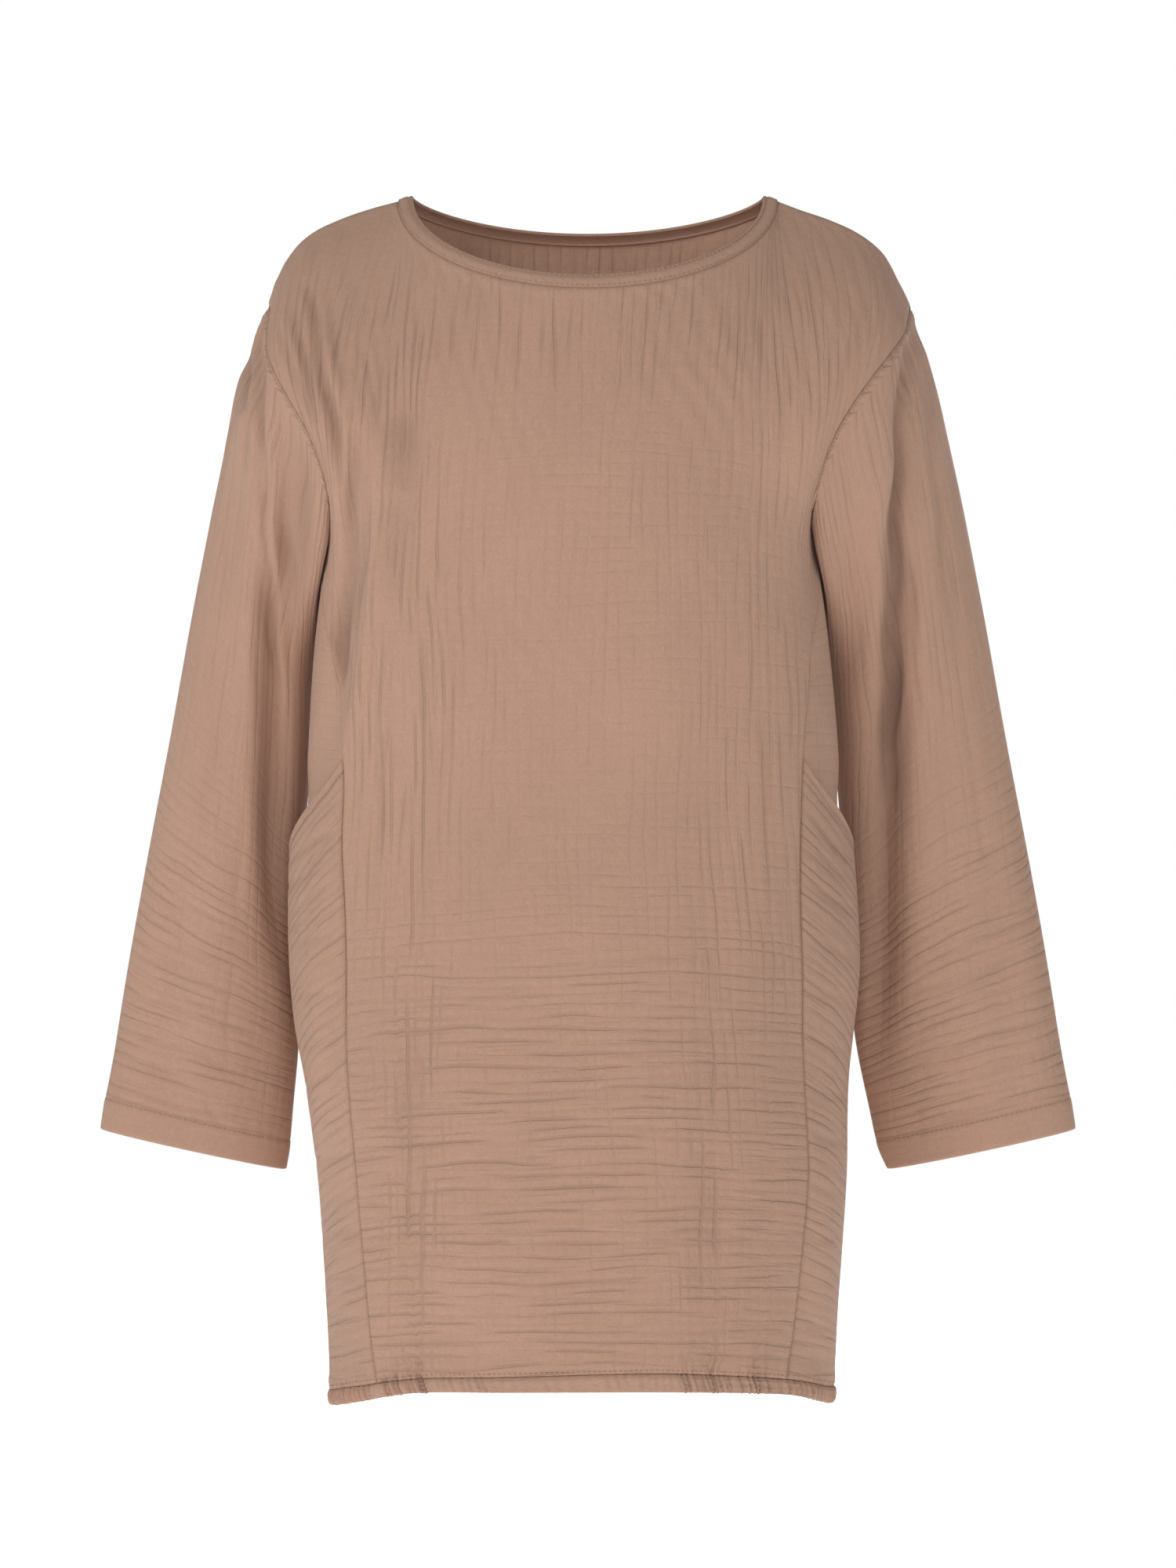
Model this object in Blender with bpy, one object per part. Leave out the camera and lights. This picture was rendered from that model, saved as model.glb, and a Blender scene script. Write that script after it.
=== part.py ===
"""Pull-on blouse in crinkled double gauze, filled out as when worn, with nobody in it.

It is built from the pieces that its maker cuts and sews: a front and a back panel, on each side
an upper and a lower side piece with a pocket between them, two set-in sleeves, a folded neck
band and an elastic casing at the hem. Each piece is one closed wall of cloth, 0.3 mm from the
piece that it is sewn to.

Sizes are in millimetres and become metres when a mesh is made. X runs to the right of the front
view, -Y is the front and +Z is up. The origin is the middle of the neck opening, level with the
neck ends of the shoulder seams, where the wearer's shoulders hold the blouse up.
"""
import math
from collections import namedtuple

import bpy
import numpy as np

MM = 0.001

# Cloth
WALL = 1.2
BAND_WALL = 2.0
CASING_WALL = 2.0
SEAM = 0.3
FOLD_GAP = 0.5
SLEEVE_CLEARANCE = 1.1

# Faces of the body and sides of the front view, as signs of Y and X
FRONT, BACK = -1, 1
LEFT, RIGHT = -1, 1

# Rounding of the body's rings: 2 is an ellipse, more is squarer
FRONT_POWER = 2.3
BACK_POWER = 2.05

# Neck, on the seam of the band and on its top edge
NECK_HALF_WIDTH = 121.5
NECK_POINT_Z = -3.0
NECK_FRONT_Y, NECK_FRONT_Z = -80.0, -63.6
NECK_BACK_Y, NECK_BACK_Z = 78.0, -25.3
BAND_HALF_WIDTH = 112.0
BAND_POINT_Z = 0.0
BAND_FRONT_Y, BAND_FRONT_Z = -74.5, -55.3
BAND_BACK_Y, BAND_BACK_Z = 70.6, -18.6
BACK_DIP_POWER = 1.5
BAND_SWELL = 0.5

# How far a column of the upper body bends over before it ends: all the way at the shoulder tip,
# less at the neck point and least at the middle of the neck
TIP_ARC = 90.0
NECK_POINT_ARC = {FRONT: 60.0, BACK: 68.0}
NECK_ARC = {FRONT: 40.0, BACK: 52.0}
# How far into a panel, as a share of its width, the armhole shapes it: less under the arm
ARMHOLE_REACH, UNDERARM_REACH = 0.34, 0.13
ARMHOLE_FADE = 1.5
# How far the yoke's rows sink towards the underarm, at the middle and by the armholes
MIDDLE_SINK, ARMHOLE_SINK = 1.7, 2.2
# Share of a panel's width over which the corner at the neck point rounds off further down
NECK_POINT_ROUNDING = 0.09

# Rows and columns of the cloth grids
ARMHOLE_ROWS = 10
YOKE_LEVEL = 2
LEVELS = (-222, -236, -250, -268, -285, -307, -330, -360, -387, -414, -445, -480, -520, -560,
          -600, -640, -680, -715)
SHOULDER_COLUMNS = 5
NECK_COLUMNS = {FRONT: 14, BACK: 10}
SIDE_COLUMNS = 8
NECK_EVENING = 3
YOKE_ROWS = ARMHOLE_ROWS + YOKE_LEVEL
LAST_ROW = ARMHOLE_ROWS + len(LEVELS)

# Rings of the body, from the underarm to the hem
Ring = namedtuple("Ring", "z half_width shift front back")
BODY = (
    Ring(-767, 159.5, -4.3, 118, 122),
    Ring(-725, 161.5, -4.0, 124, 126),
    Ring(-675, 165.0, -3.5, 130, 129),
    Ring(-615, 169.5, -4.0, 133, 129),
    Ring(-575, 172.0, -6.5, 135, 128),
    Ring(-535, 173.5, -8.5, 134, 125),
    Ring(-495, 174.0, -8.5, 133, 123),
    Ring(-445, 173.0, -9.8, 130, 119),
    Ring(-415, 171.5, -10.5, 126, 115),
    Ring(-375, 170.0, -9.5, 120, 110),
    Ring(-285, 163.7, -10.3, 118, 108),
    Ring(-222, 155.8, -10.7, 115, 106),
)

# Seams between the panels and the side pieces, as degrees round the ring from the side
SeamAngle = namedtuple("SeamAngle", "z degrees")
PANEL_SEAM = (
    SeamAngle(-752, 39.9), SeamAngle(-725, 37.5), SeamAngle(-680, 36.0), SeamAngle(-615, 35.3),
    SeamAngle(-575, 36.0), SeamAngle(-500, 37.0), SeamAngle(-445, 36.5), SeamAngle(-414, 35.1),
    SeamAngle(-360, 33.3), SeamAngle(-328, 29.5), SeamAngle(-307, 25.4), SeamAngle(-285, 21.2),
    SeamAngle(-250, 8.4), SeamAngle(-222, 3.0),
)

# Hem line and height of the casing above it, by degrees round the ring: 90 is the front
HemPoint = namedtuple("HemPoint", "degrees hem_z casing")
HEM = (
    HemPoint(-10, -768, 10.5), HemPoint(10, -767.5, 10.8), HemPoint(39, -757.6, 10.0),
    HemPoint(54, -755.0, 10.8), HemPoint(75, -753.2, 12.2), HemPoint(105, -753.4, 10.0),
    HemPoint(127, -755.0, 9.2), HemPoint(150, -763.5, 10.2), HemPoint(180, -770, 9.8),
    HemPoint(215, -765, 10.5), HemPoint(270, -760, 11.0), HemPoint(325, -764, 10.8),
    HemPoint(350, -768, 10.5), HemPoint(370, -767.5, 10.8),
)

# Shoulder seams, from the neck to the tip, as distances out on each side
ShoulderPoint = namedtuple("ShoulderPoint", "z left right")
SHOULDER = (
    ShoulderPoint(-3.0, 121.5, 121.5), ShoulderPoint(-7.5, 138.0, 133.0),
    ShoulderPoint(-15.0, 159.5, 154.5), ShoulderPoint(-22.5, 175.0, 171.0),
    ShoulderPoint(-30.0, 184.5, 182.0), ShoulderPoint(-37.5, 190.5, 189.5),
    ShoulderPoint(-45.0, 195.0, 194.0), ShoulderPoint(-52.5, 198.5, 197.5),
    ShoulderPoint(-60.0, 201.5, 201.5), ShoulderPoint(-70.0, 204.0, 206.0),
)

# Armhole seams, from the shoulder tip down to the side piece: distance out, distance from the
# shoulder seam towards the front or the back, and height
ArmholePoint = namedtuple("ArmholePoint", "out reach z")
ARMHOLE = {
    LEFT: (
        ArmholePoint(204.0, 0, -70), ArmholePoint(202.0, 20, -77), ArmholePoint(203.0, 34, -91),
        ArmholePoint(202.5, 46, -104), ArmholePoint(197.0, 56, -117),
        ArmholePoint(189.5, 62, -131), ArmholePoint(179.0, 66, -149),
        ArmholePoint(165.5, 61, -183), ArmholePoint(162.5, 38, -209),
    ),
    RIGHT: (
        ArmholePoint(206.0, 0, -70), ArmholePoint(203.5, 20, -80), ArmholePoint(201.0, 34, -89),
        ArmholePoint(192.5, 48, -101.5), ArmholePoint(178.5, 60, -119.5),
        ArmholePoint(165.5, 66, -138), ArmholePoint(155.0, 67, -156.5),
        ArmholePoint(145.0, 62, -184), ArmholePoint(141.5, 40, -208),
    ),
}

# Soft folds of the body: where each runs, how wide it is and how far it stands out
BodyFold = namedtuple("BodyFold", "face top_z bottom_z top_x middle_x bottom_x width depth")
BODY_FOLDS = (
    BodyFold(FRONT, -150, -378, -143, -153, -167, 7.0, -5.0),
    BodyFold(FRONT, -190, -372, -124, -137, -153, 8.0, 2.6),
    BodyFold(FRONT, -385, -640, -160, -167, -174, 6.0, 2.4),
    BodyFold(FRONT, -560, -790, 144, 148, 154, 7.0, 2.6),
    BodyFold(FRONT, -170, -350, 128, 140, 149, 8.0, -2.6),
    BodyFold(FRONT, -330, -740, 74, 80, 66, 16.0, -2.2),
    BodyFold(FRONT, -300, -700, -104, -98, -112, 14.0, -2.4),
    BodyFold(BACK, -150, -380, -132, -142, -156, 9.0, -4.0),
    BodyFold(BACK, -160, -400, 124, 132, 140, 9.0, -3.6),
    BodyFold(BACK, -260, -740, -58, -66, -74, 18.0, 2.8),
    BodyFold(BACK, -240, -740, 44, 52, 58, 18.0, 2.6),
)
FOLD_FADE = 0.3
FOLD_INSIDE = 0.1

# Pocket: the upper side piece runs down inside the lower one, whose top edge is the mouth
POCKET_BOTTOM_LEVEL = 13
MOUTH_FRONT_LEVEL, MOUTH_SIDE_LEVEL, MOUTH_BACK_LEVEL = 7, 9, 10
POCKET_ROWS = len(LEVELS) - MOUTH_FRONT_LEVEL
MOUTH_ROW = 0.12
POCKET_INSET = 1.9
INSET_LEVELS = 1.0
PocketBulge = namedtuple("PocketBulge", "z out")
POCKET_BULGE = (
    PocketBulge(-590, 0.0), PocketBulge(-560, 1.4), PocketBulge(-532, 4.8),
    PocketBulge(-495, 8.0), PocketBulge(-445, 8.6), PocketBulge(-414, 8.2),
    PocketBulge(-390, 6.0), PocketBulge(-360, 2.5),
)
POCKET_ROUNDING = 0.8

# Sleeve rings below its head, by distance down the outer edge from the armhole seam
HEAD_DROP = 141
SleeveRing = namedtuple(
    "SleeveRing", "drop outer_x outer_y outer_z left_inner_x right_inner_x inner_y inner_z depth")
SLEEVE = (
    SleeveRing(141, 242, 30, -205, 176, 156, 42, -315, 51),
    SleeveRing(207, 255, 36, -270, 179, 160, 46, -370, 46),
    SleeveRing(283, 269, 39, -345, 185, 165, 47, -430, 42),
    SleeveRing(360, 283, 40, -420, 187.5, 168, 46, -485, 38),
    SleeveRing(441, 297, 37, -500, 186, 172, 42, -540, 34),
    SleeveRing(497, 306, 35, -555, 189.5, 180.5, 40, -582, 31),
    SleeveRing(524, 311, 34, -582, 192, 187, 38, -610, 29),
    SleeveRing(538, 313, 33, -596, 194, 192.5, 36, -622, 28),
)
SLEEVE_ROWS = (0, 9, 24, 44, 70, 104, 141, 195, 255, 320, 385, 450, 505, 538)
HEAD_CARRY = 1.0
HEAD_SWELL = 2.4
SWELL_DROP = 22.0

# Long folds of the sleeves, by drop and degrees round the ring: 0 outer, 90 front, 180 inner
SleeveFold = namedtuple("SleeveFold", "side top bottom top_at middle_at bottom_at width depth")
SLEEVE_FOLDS = (
    SleeveFold(LEFT, 20, 380, 62, 92, 122, 15, 4.5),
    SleeveFold(LEFT, 20, 400, 92, 120, 146, 15, -8.5),
    SleeveFold(RIGHT, 60, 520, 88, 126, 150, 17, -9.0),
    SleeveFold(RIGHT, 60, 500, 62, 98, 124, 15, 3.0),
    SleeveFold(LEFT, 300, 560, 60, 66, 70, 16, -3.0),
    SleeveFold(RIGHT, 300, 560, 52, 58, 66, 16, -3.0),
    SleeveFold(LEFT, 60, 480, 285, 262, 240, 17, -6.5),
    SleeveFold(RIGHT, 50, 470, 280, 258, 236, 17, -6.0),
)

# Gathers of the sleeve head: waves on each side of the shoulder tip
HEAD_CELLS = 3
HEAD_CUTS = 4
BODY_CUTS = 2
HEAD_WAVE = 1.5
HEAD_REACH = 85.0

# Gathers of the hem casing, as stretches of the ring with the waves in each
CasingStretch = namedtuple("CasingStretch", "start end waves swing")
CASING = (
    CasingStretch(54, 126, 0, 0.0),
    CasingStretch(126, 180, 16, 1.1),
    CasingStretch(180, 236, 16, 1.0),
    CasingStretch(236, 304, 0, 0.0),
    CasingStretch(304, 360, 18, 1.0),
    CasingStretch(360, 414, 20, 0.9),
)
PLAIN_CASING_CELLS = 9
CasingRow = namedtuple("CasingRow", "down swell swing")
CASING_ROWS = (
    CasingRow(0.0, 0.0, 0.5), CasingRow(0.55, 1.2, 1.0), CasingRow(1.0, 0.2, 0.8),
)

# Colour, roughness and metallic value of the cloth
CLOTH_COLOUR = (0.434, 0.279, 0.208, 1.0)
CLOTH_ROUGHNESS = 0.92
CLOTH_METALLIC = 0.0


def smooth(keys, values, at):
    """Value at the given place of the smooth curve through the points, whose keys rise."""
    keys = np.asarray(keys, float)
    values = np.asarray(values, float)
    at = np.clip(np.asarray(at, float), keys[0], keys[-1])
    low = np.clip(np.searchsorted(keys, at, side="right") - 1, 0, len(keys) - 2)
    slope = np.gradient(values, keys, axis=0)
    span = keys[low + 1] - keys[low]
    t = (at - keys[low]) / span
    if values.ndim > 1:
        t, span = t[..., None], span[..., None]
    return ((1 + 2 * t) * (1 - t) ** 2 * values[low] + t * (1 - t) ** 2 * span * slope[low]
            + t ** 2 * (3 - 2 * t) * values[low + 1] - t ** 2 * (1 - t) * span * slope[low + 1])


def column(table, key, name, at):
    """One column of a table, read as a smooth curve over the table's key column."""
    rows = sorted(table, key=lambda row: getattr(row, key))
    return smooth([getattr(row, key) for row in rows], [getattr(row, name) for row in rows], at)


def ease(t):
    """Rise from 0 to 1 with level ends."""
    t = np.clip(t, 0.0, 1.0)
    return t * t * (3 - 2 * t)


def unit(vectors):
    """Vectors of length 1."""
    return vectors / np.linalg.norm(vectors, axis=-1, keepdims=True)


def stack(x, y, z):
    """Points from their three coordinates."""
    return np.stack(np.broadcast_arrays(x, y, z), axis=-1).astype(float)


def along_curve(points, share):
    """Point of the smooth curve through the points, by share of its length."""
    steps = np.linalg.norm(np.diff(points, axis=0), axis=1)
    lengths = np.concatenate([[0.0], np.cumsum(steps)])
    return smooth(lengths / lengths[-1], points, share)


def body_ring(degrees, z):
    """Outer point of the body: 0 is the right side, 90 the front, 180 the left side."""
    angle = np.radians(degrees)
    across, ahead = np.cos(angle), np.sin(angle)
    half_width = column(BODY, "z", "half_width", z)
    in_front = ahead >= 0
    depth = np.where(in_front, column(BODY, "z", "front", z), column(BODY, "z", "back", z))
    power = 2 / np.where(in_front, FRONT_POWER, BACK_POWER)
    x = column(BODY, "z", "shift", z) + half_width * np.sign(across) * np.abs(across) ** power
    y = -depth * np.sign(ahead) * np.abs(ahead) ** power
    return stack(x, y, z)


def out_of_body(points):
    """Level direction that points out of the body."""
    z = points[..., 2]
    width = column(BODY, "z", "half_width", z)
    depth = column(BODY, "z", "front", z)
    x = (points[..., 0] - column(BODY, "z", "shift", z)) / width ** 2
    y = points[..., 1] / depth ** 2
    return unit(stack(x, y, np.zeros_like(z)))


def body_folds(points):
    """How far the body's soft folds stand out at each point."""
    x, y, z = points[..., 0], points[..., 1], points[..., 2]
    total = np.zeros_like(x)
    for fold in BODY_FOLDS:
        t = (z - fold.top_z) / (fold.bottom_z - fold.top_z)
        path = smooth((0, 0.5, 1), (fold.top_x, fold.middle_x, fold.bottom_x), t)
        fade = ease(t / FOLD_FADE) * ease((1 - t) / FOLD_FADE)
        on_face = ease(y * fold.face / 30.0)
        total += fold.depth * fade * on_face * np.exp(-((x - path) / fold.width) ** 2)
    return total


def with_folds(points):
    """Body points with the soft folds in them."""
    return points + out_of_body(points) * body_folds(points)[..., None]


def seam_angle(z):
    return column(PANEL_SEAM, "z", "degrees", z)


def hem_height(degrees):
    return column(HEM, "degrees", "hem_z", np.mod(np.asarray(degrees) + 10, 360) - 10)


def casing_top(degrees):
    """Height of the seam between the panels and the hem casing."""
    around = np.mod(np.asarray(degrees) + 10, 360) - 10
    return hem_height(around) + column(HEM, "degrees", "casing", around)


def level_point(degrees_at, level):
    """Body point on one level, where degrees_at gives the angle for a height."""
    if level < len(LEVELS):
        z = float(LEVELS[level])
        degrees = degrees_at(z)
        return with_folds(body_ring(degrees, z + np.zeros_like(degrees)))
    degrees = degrees_at(float(LEVELS[-1]) - 30.0)
    return with_folds(body_ring(degrees, casing_top(degrees)))


def between_levels(degrees_at, levels):
    """Body points at whole or part levels: straight cloth runs from each level to the next."""
    levels = np.clip(np.asarray(levels, float), 0, len(LEVELS))
    low = np.minimum(levels.astype(int), len(LEVELS) - 1)
    part = (levels - low)[..., None]
    result = np.zeros(levels.shape + (3,))
    for level in np.unique(low):
        here = low == level
        above = level_point(degrees_at, level)[here]
        below = level_point(degrees_at, level + 1)[here]
        result[here] = above + (below - above) * part[here]
    return result


def shoulder_tip(side):
    point = ARMHOLE[side][0]
    return np.array([side * point.out, 0.0, point.z])


def panel_side(side, face, row):
    """Side edge of a panel above the yoke level: the armhole, then the seam to the side piece."""
    seam = between_levels(lambda z: panel_angle(face, np.full_like(row, side > 0), z),
                          row - ARMHOLE_ROWS)
    corner = level_point(lambda z: panel_angle(face, np.float64(side > 0), z), 0)
    points = [(side * p.out, face * p.reach, p.z) for p in ARMHOLE[side]]
    curve = np.array([corner] + points[::-1])
    armhole = along_curve(curve, np.clip(1 - row / ARMHOLE_ROWS, 0, 1))
    return np.where((row < ARMHOLE_ROWS)[..., None], armhole, seam)


def top_edge(face, u):
    """Top of a panel: left shoulder seam, neck seam, right shoulder seam."""
    ends = shoulder_share(face)
    z = np.array([p.z for p in SHOULDER])
    left = np.stack([[-p.left for p in SHOULDER], 0 * z, z], axis=-1)[::-1]
    right = np.stack([[p.right for p in SHOULDER], 0 * z, z], axis=-1)
    turn = np.radians(180 * (np.clip(u, ends, 1 - ends) - ends) / (1 - 2 * ends) - 90)
    neck = neck_seam(face, turn)
    on_left = along_curve(left, np.clip(u / ends, 0, 1))
    on_right = along_curve(right, np.clip((u - 1 + ends) / ends, 0, 1))
    return np.where((u < ends)[..., None], on_left, np.where((u > 1 - ends)[..., None],
                                                             on_right, neck))


def shoulder_share(face):
    """Share of a panel's columns that ends on one shoulder seam."""
    return SHOULDER_COLUMNS / (2 * SHOULDER_COLUMNS + NECK_COLUMNS[face])


def neck_loop(face, turn, half_width, point_z, middle_y, middle_z):
    """Half of a loop round the neck: the front one lies in a plane, the back one dips."""
    dip = np.cos(turn) if face == FRONT else np.abs(np.cos(turn)) ** BACK_DIP_POWER
    return stack(half_width * np.sin(turn), middle_y * np.cos(turn),
                 point_z + (middle_z - point_z) * dip)


def neck_seam(face, turn):
    if face == FRONT:
        return neck_loop(face, turn, NECK_HALF_WIDTH, NECK_POINT_Z, NECK_FRONT_Y, NECK_FRONT_Z)
    return neck_loop(face, turn, NECK_HALF_WIDTH, NECK_POINT_Z, NECK_BACK_Y, NECK_BACK_Z)


def band_top(face, turn):
    if face == FRONT:
        return neck_loop(face, turn, BAND_HALF_WIDTH, BAND_POINT_Z, BAND_FRONT_Y, BAND_FRONT_Z)
    return neck_loop(face, turn, BAND_HALF_WIDTH, BAND_POINT_Z, BAND_BACK_Y, BAND_BACK_Z)


def panel_angle(face, u, z):
    """Degrees round the ring of a panel's column at a height."""
    edge = seam_angle(z)
    return 180 + face * (edge + u * (180 - 2 * edge))


def yoke(face, u, row):
    """Panel from its top edge, at row 0, to the yoke level just under the arms."""
    level = float(LEVELS[YOKE_LEVEL])
    inward = np.minimum(u, 1 - u)
    sink = ARMHOLE_SINK + (MIDDLE_SINK - ARMHOLE_SINK) * ease(inward / 0.3)
    share = np.clip(1 - row / YOKE_ROWS, 0, 1) ** sink
    bottom = body_ring(panel_angle(face, u, level), np.full_like(u, level))
    blur = NECK_POINT_ROUNDING * (1 - share) * ease(inward / NECK_POINT_ROUNDING)
    top = sum(top_edge(face, u + blur * tap) for tap in (-1, -0.5, 0, 0.5, 1)) / 5
    ends = shoulder_share(face)
    to_neck, to_middle = ease(inward / ends), ease((inward - ends) / (0.5 - ends))
    arc = np.radians(TIP_ARC + (NECK_POINT_ARC[face] - TIP_ARC) * to_neck
                     + (NECK_ARC[face] - NECK_POINT_ARC[face]) * to_middle)
    points = bottom + (top - bottom) * arch(share, arc)
    reach = ARMHOLE_REACH + (UNDERARM_REACH - ARMHOLE_REACH) * ease(row / ARMHOLE_ROWS * 2 - 1)
    for side, from_edge in ((LEFT, u), (RIGHT, 1 - u)):
        corner = body_ring(panel_angle(face, np.float64(side > 0), level), np.float64(level))
        plain = corner + (shoulder_tip(side) - corner) * arch(share, np.radians(TIP_ARC))
        pull = np.clip(1 - from_edge / reach, 0, None) ** ARMHOLE_FADE
        points = points + (panel_side(side, face, row) - plain) * pull[..., None]
    inside = ease(inward / FOLD_INSIDE)
    return points + out_of_body(points) * (body_folds(points) * inside)[..., None]


def arch(share, arc):
    """Shares of a column's way across, over and up, as it bends through an arc on its way up."""
    over = (1 - np.cos(share * arc)) / (1 - np.cos(arc))
    return np.stack([share, over, np.sin(share * arc) / np.sin(arc)], axis=-1)


def panel(face, u, row):
    """Front or back panel: row 0 is the top edge and the last row the casing seam."""
    u, row = np.broadcast_arrays(np.asarray(u, float), np.asarray(row, float))
    lower = between_levels(lambda z: panel_angle(face, u, z), row - ARMHOLE_ROWS)
    return np.where((row < YOKE_ROWS)[..., None], yoke(face, u, row), lower)


def side_cloth(side, across, level):
    """Side piece: across is 1 at the front seam, 0 at the side and -1 at the back seam."""
    across, level = np.broadcast_arrays(np.asarray(across, float), np.asarray(level, float))
    middle = 0 if side == RIGHT else 180
    turn = 1 if side == RIGHT else -1
    return between_levels(lambda z: middle + turn * across * seam_angle(z), level)


def mouth_level(across):
    """Level of the pocket's mouth, which slants down from the front seam to the back seam."""
    slant = (MOUTH_FRONT_LEVEL - MOUTH_BACK_LEVEL) / 2
    bow = (MOUTH_FRONT_LEVEL + MOUTH_BACK_LEVEL) / 2 - MOUTH_SIDE_LEVEL
    return MOUTH_SIDE_LEVEL + slant * across + bow * across ** 2


def upper_side(side, across, level):
    """Upper side piece, stepped in under the lower one below the pocket's mouth."""
    points = side_cloth(side, across, level)
    inset = POCKET_INSET * ease((level - mouth_level(across) + 2 * INSET_LEVELS) / INSET_LEVELS)
    return points - out_of_body(points) * inset[..., None]


def lower_side(side, across, row):
    """Lower side piece from the mouth, at row 0, to the casing seam, standing off as a pocket."""
    level = np.maximum(MOUTH_FRONT_LEVEL + row, mouth_level(across) + MOUTH_ROW * row)
    points = side_cloth(side, across, level)
    bulge = column(POCKET_BULGE, "z", "out", points[..., 2])
    bulge = bulge * np.cos(np.clip(across, -1, 1) * np.pi / 2) ** POCKET_ROUNDING
    return points + out_of_body(points) * bulge[..., None]


def normals(surface, across, down, step=0.02):
    """Outward directions of a surface whose first value runs right and second runs down."""
    right = surface(across + step, down) - surface(across - step, down)
    fall = surface(across, down + step) - surface(across, down - step)
    return unit(np.cross(fall, right))


def grid_normals(points):
    """Outward directions of a closed tube of points, with rows down and columns to the right."""
    right = np.roll(points, -1, axis=1) - np.roll(points, 1, axis=1)
    fall = np.gradient(points, axis=0)
    return unit(np.cross(fall, right))


def trim(points, directions, *edges):
    """Grid with the named edges moved in by half a seam, square to the edge."""
    result = points.copy()
    down = np.gradient(points, axis=0)
    right = np.gradient(points, axis=1)
    inward = {
        "top": (np.s_[0], lambda: np.cross(right[0], directions[0])),
        "bottom": (np.s_[-1], lambda: -np.cross(right[-1], directions[-1])),
        "left": (np.s_[:, 0], lambda: np.cross(directions[:, 0], down[:, 0])),
        "right": (np.s_[:, -1], lambda: -np.cross(directions[:, -1], down[:, -1])),
    }
    for edge in edges:
        where, direction = inward[edge]
        result[where] += unit(direction()) * SEAM / 2
    return result


def cloth_material(name):
    material = bpy.data.materials.new(name)
    material.use_nodes = True
    shader = material.node_tree.nodes["Principled BSDF"]
    shader.inputs["Base Color"].default_value = CLOTH_COLOUR
    shader.inputs["Roughness"].default_value = CLOTH_ROUGHNESS
    shader.inputs["Metallic"].default_value = CLOTH_METALLIC
    material.diffuse_color = CLOTH_COLOUR
    return material


def cloth_wall(name, outer, directions, thickness=WALL, tube=False):
    """Closed wall of cloth: rows run down and columns to the right, seen from outside."""
    rows, columns = outer.shape[:2]
    inner = outer - directions * thickness
    points = np.concatenate([outer.reshape(-1, 3), inner.reshape(-1, 3)]) * MM
    behind = rows * columns
    cells = columns if tube else columns - 1
    faces = []
    for row in range(rows - 1):
        for cell in range(cells):
            a = row * columns + cell
            b = row * columns + (cell + 1) % columns
            c, d = b + columns, a + columns
            faces.append((a, d, c, b))
            faces.append((a + behind, b + behind, c + behind, d + behind))
    for cell in range(cells):
        a, b = cell, (cell + 1) % columns
        c, d = a + (rows - 1) * columns, b + (rows - 1) * columns
        faces.append((a, b, b + behind, a + behind))
        faces.append((c, c + behind, d + behind, d))
    if not tube:
        for row in range(rows - 1):
            a, b = row * columns, (row + 1) * columns
            c, d = a + columns - 1, b + columns - 1
            faces.append((a, a + behind, b + behind, b))
            faces.append((c, d, d + behind, c + behind))
    mesh = bpy.data.meshes.new(name)
    mesh.from_pydata(points.tolist(), [], faces)
    mesh.materials.append(cloth_material(name + "_cloth"))
    mesh.shade_smooth()
    mesh.set_sharp_from_angle(angle=math.radians(50))
    piece = bpy.data.objects.new(name, mesh)
    bpy.context.scene.collection.objects.link(piece)
    return piece


def panel_grid(face):
    """Points and outward directions of the front or back panel, columns from left to right."""
    cells = 2 * SHOULDER_COLUMNS + NECK_COLUMNS[face]
    u, row = np.meshgrid(np.arange(cells + 1) / cells, np.arange(LAST_ROW + 1))
    points = panel(face, u, row)
    directions = -face * normals(lambda a, b: panel(face, a / cells, b), u * cells, row)
    for shoulder in (slice(0, SHOULDER_COLUMNS + 1), slice(-SHOULDER_COLUMNS - 1, None)):
        along = np.gradient(points[0, shoulder], axis=0)
        directions[0, shoulder] = unit(np.cross(along, (0.0, 1.0, 0.0)))
    neck = np.arange(SHOULDER_COLUMNS + 1, cells - SHOULDER_COLUMNS)
    for _ in range(NECK_EVENING):
        beside = directions[0, neck - 1] + directions[0, neck + 1]
        directions[0, neck] = unit(directions[0, neck] * 2 + beside)
    return points, directions


def make_panel(name, face):
    points, directions = panel_grid(face)
    if face == BACK:
        points, directions = points[:, ::-1], directions[:, ::-1]
    points = trim(points, directions, "top", "bottom", "left", "right")
    cloth_wall(name, points, directions)


def make_upper_side(name, side):
    def surface(right, level):
        return upper_side(side, -side * right, level)

    right, level = np.meshgrid(np.linspace(-1, 1, SIDE_COLUMNS + 1),
                               np.arange(POCKET_BOTTOM_LEVEL + 1))
    directions = normals(surface, right, level)
    points = trim(surface(right, level), directions, "top", "left", "right")
    cloth_wall(name, points, directions)


def make_lower_side(name, side):
    def surface(right, row):
        return lower_side(side, -side * right, row)

    right, row = np.meshgrid(np.linspace(-1, 1, SIDE_COLUMNS + 1), np.arange(POCKET_ROWS + 1))
    directions = normals(surface, right, row)
    points = trim(surface(right, row), directions, "bottom", "left", "right")
    cloth_wall(name, points, directions)


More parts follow.
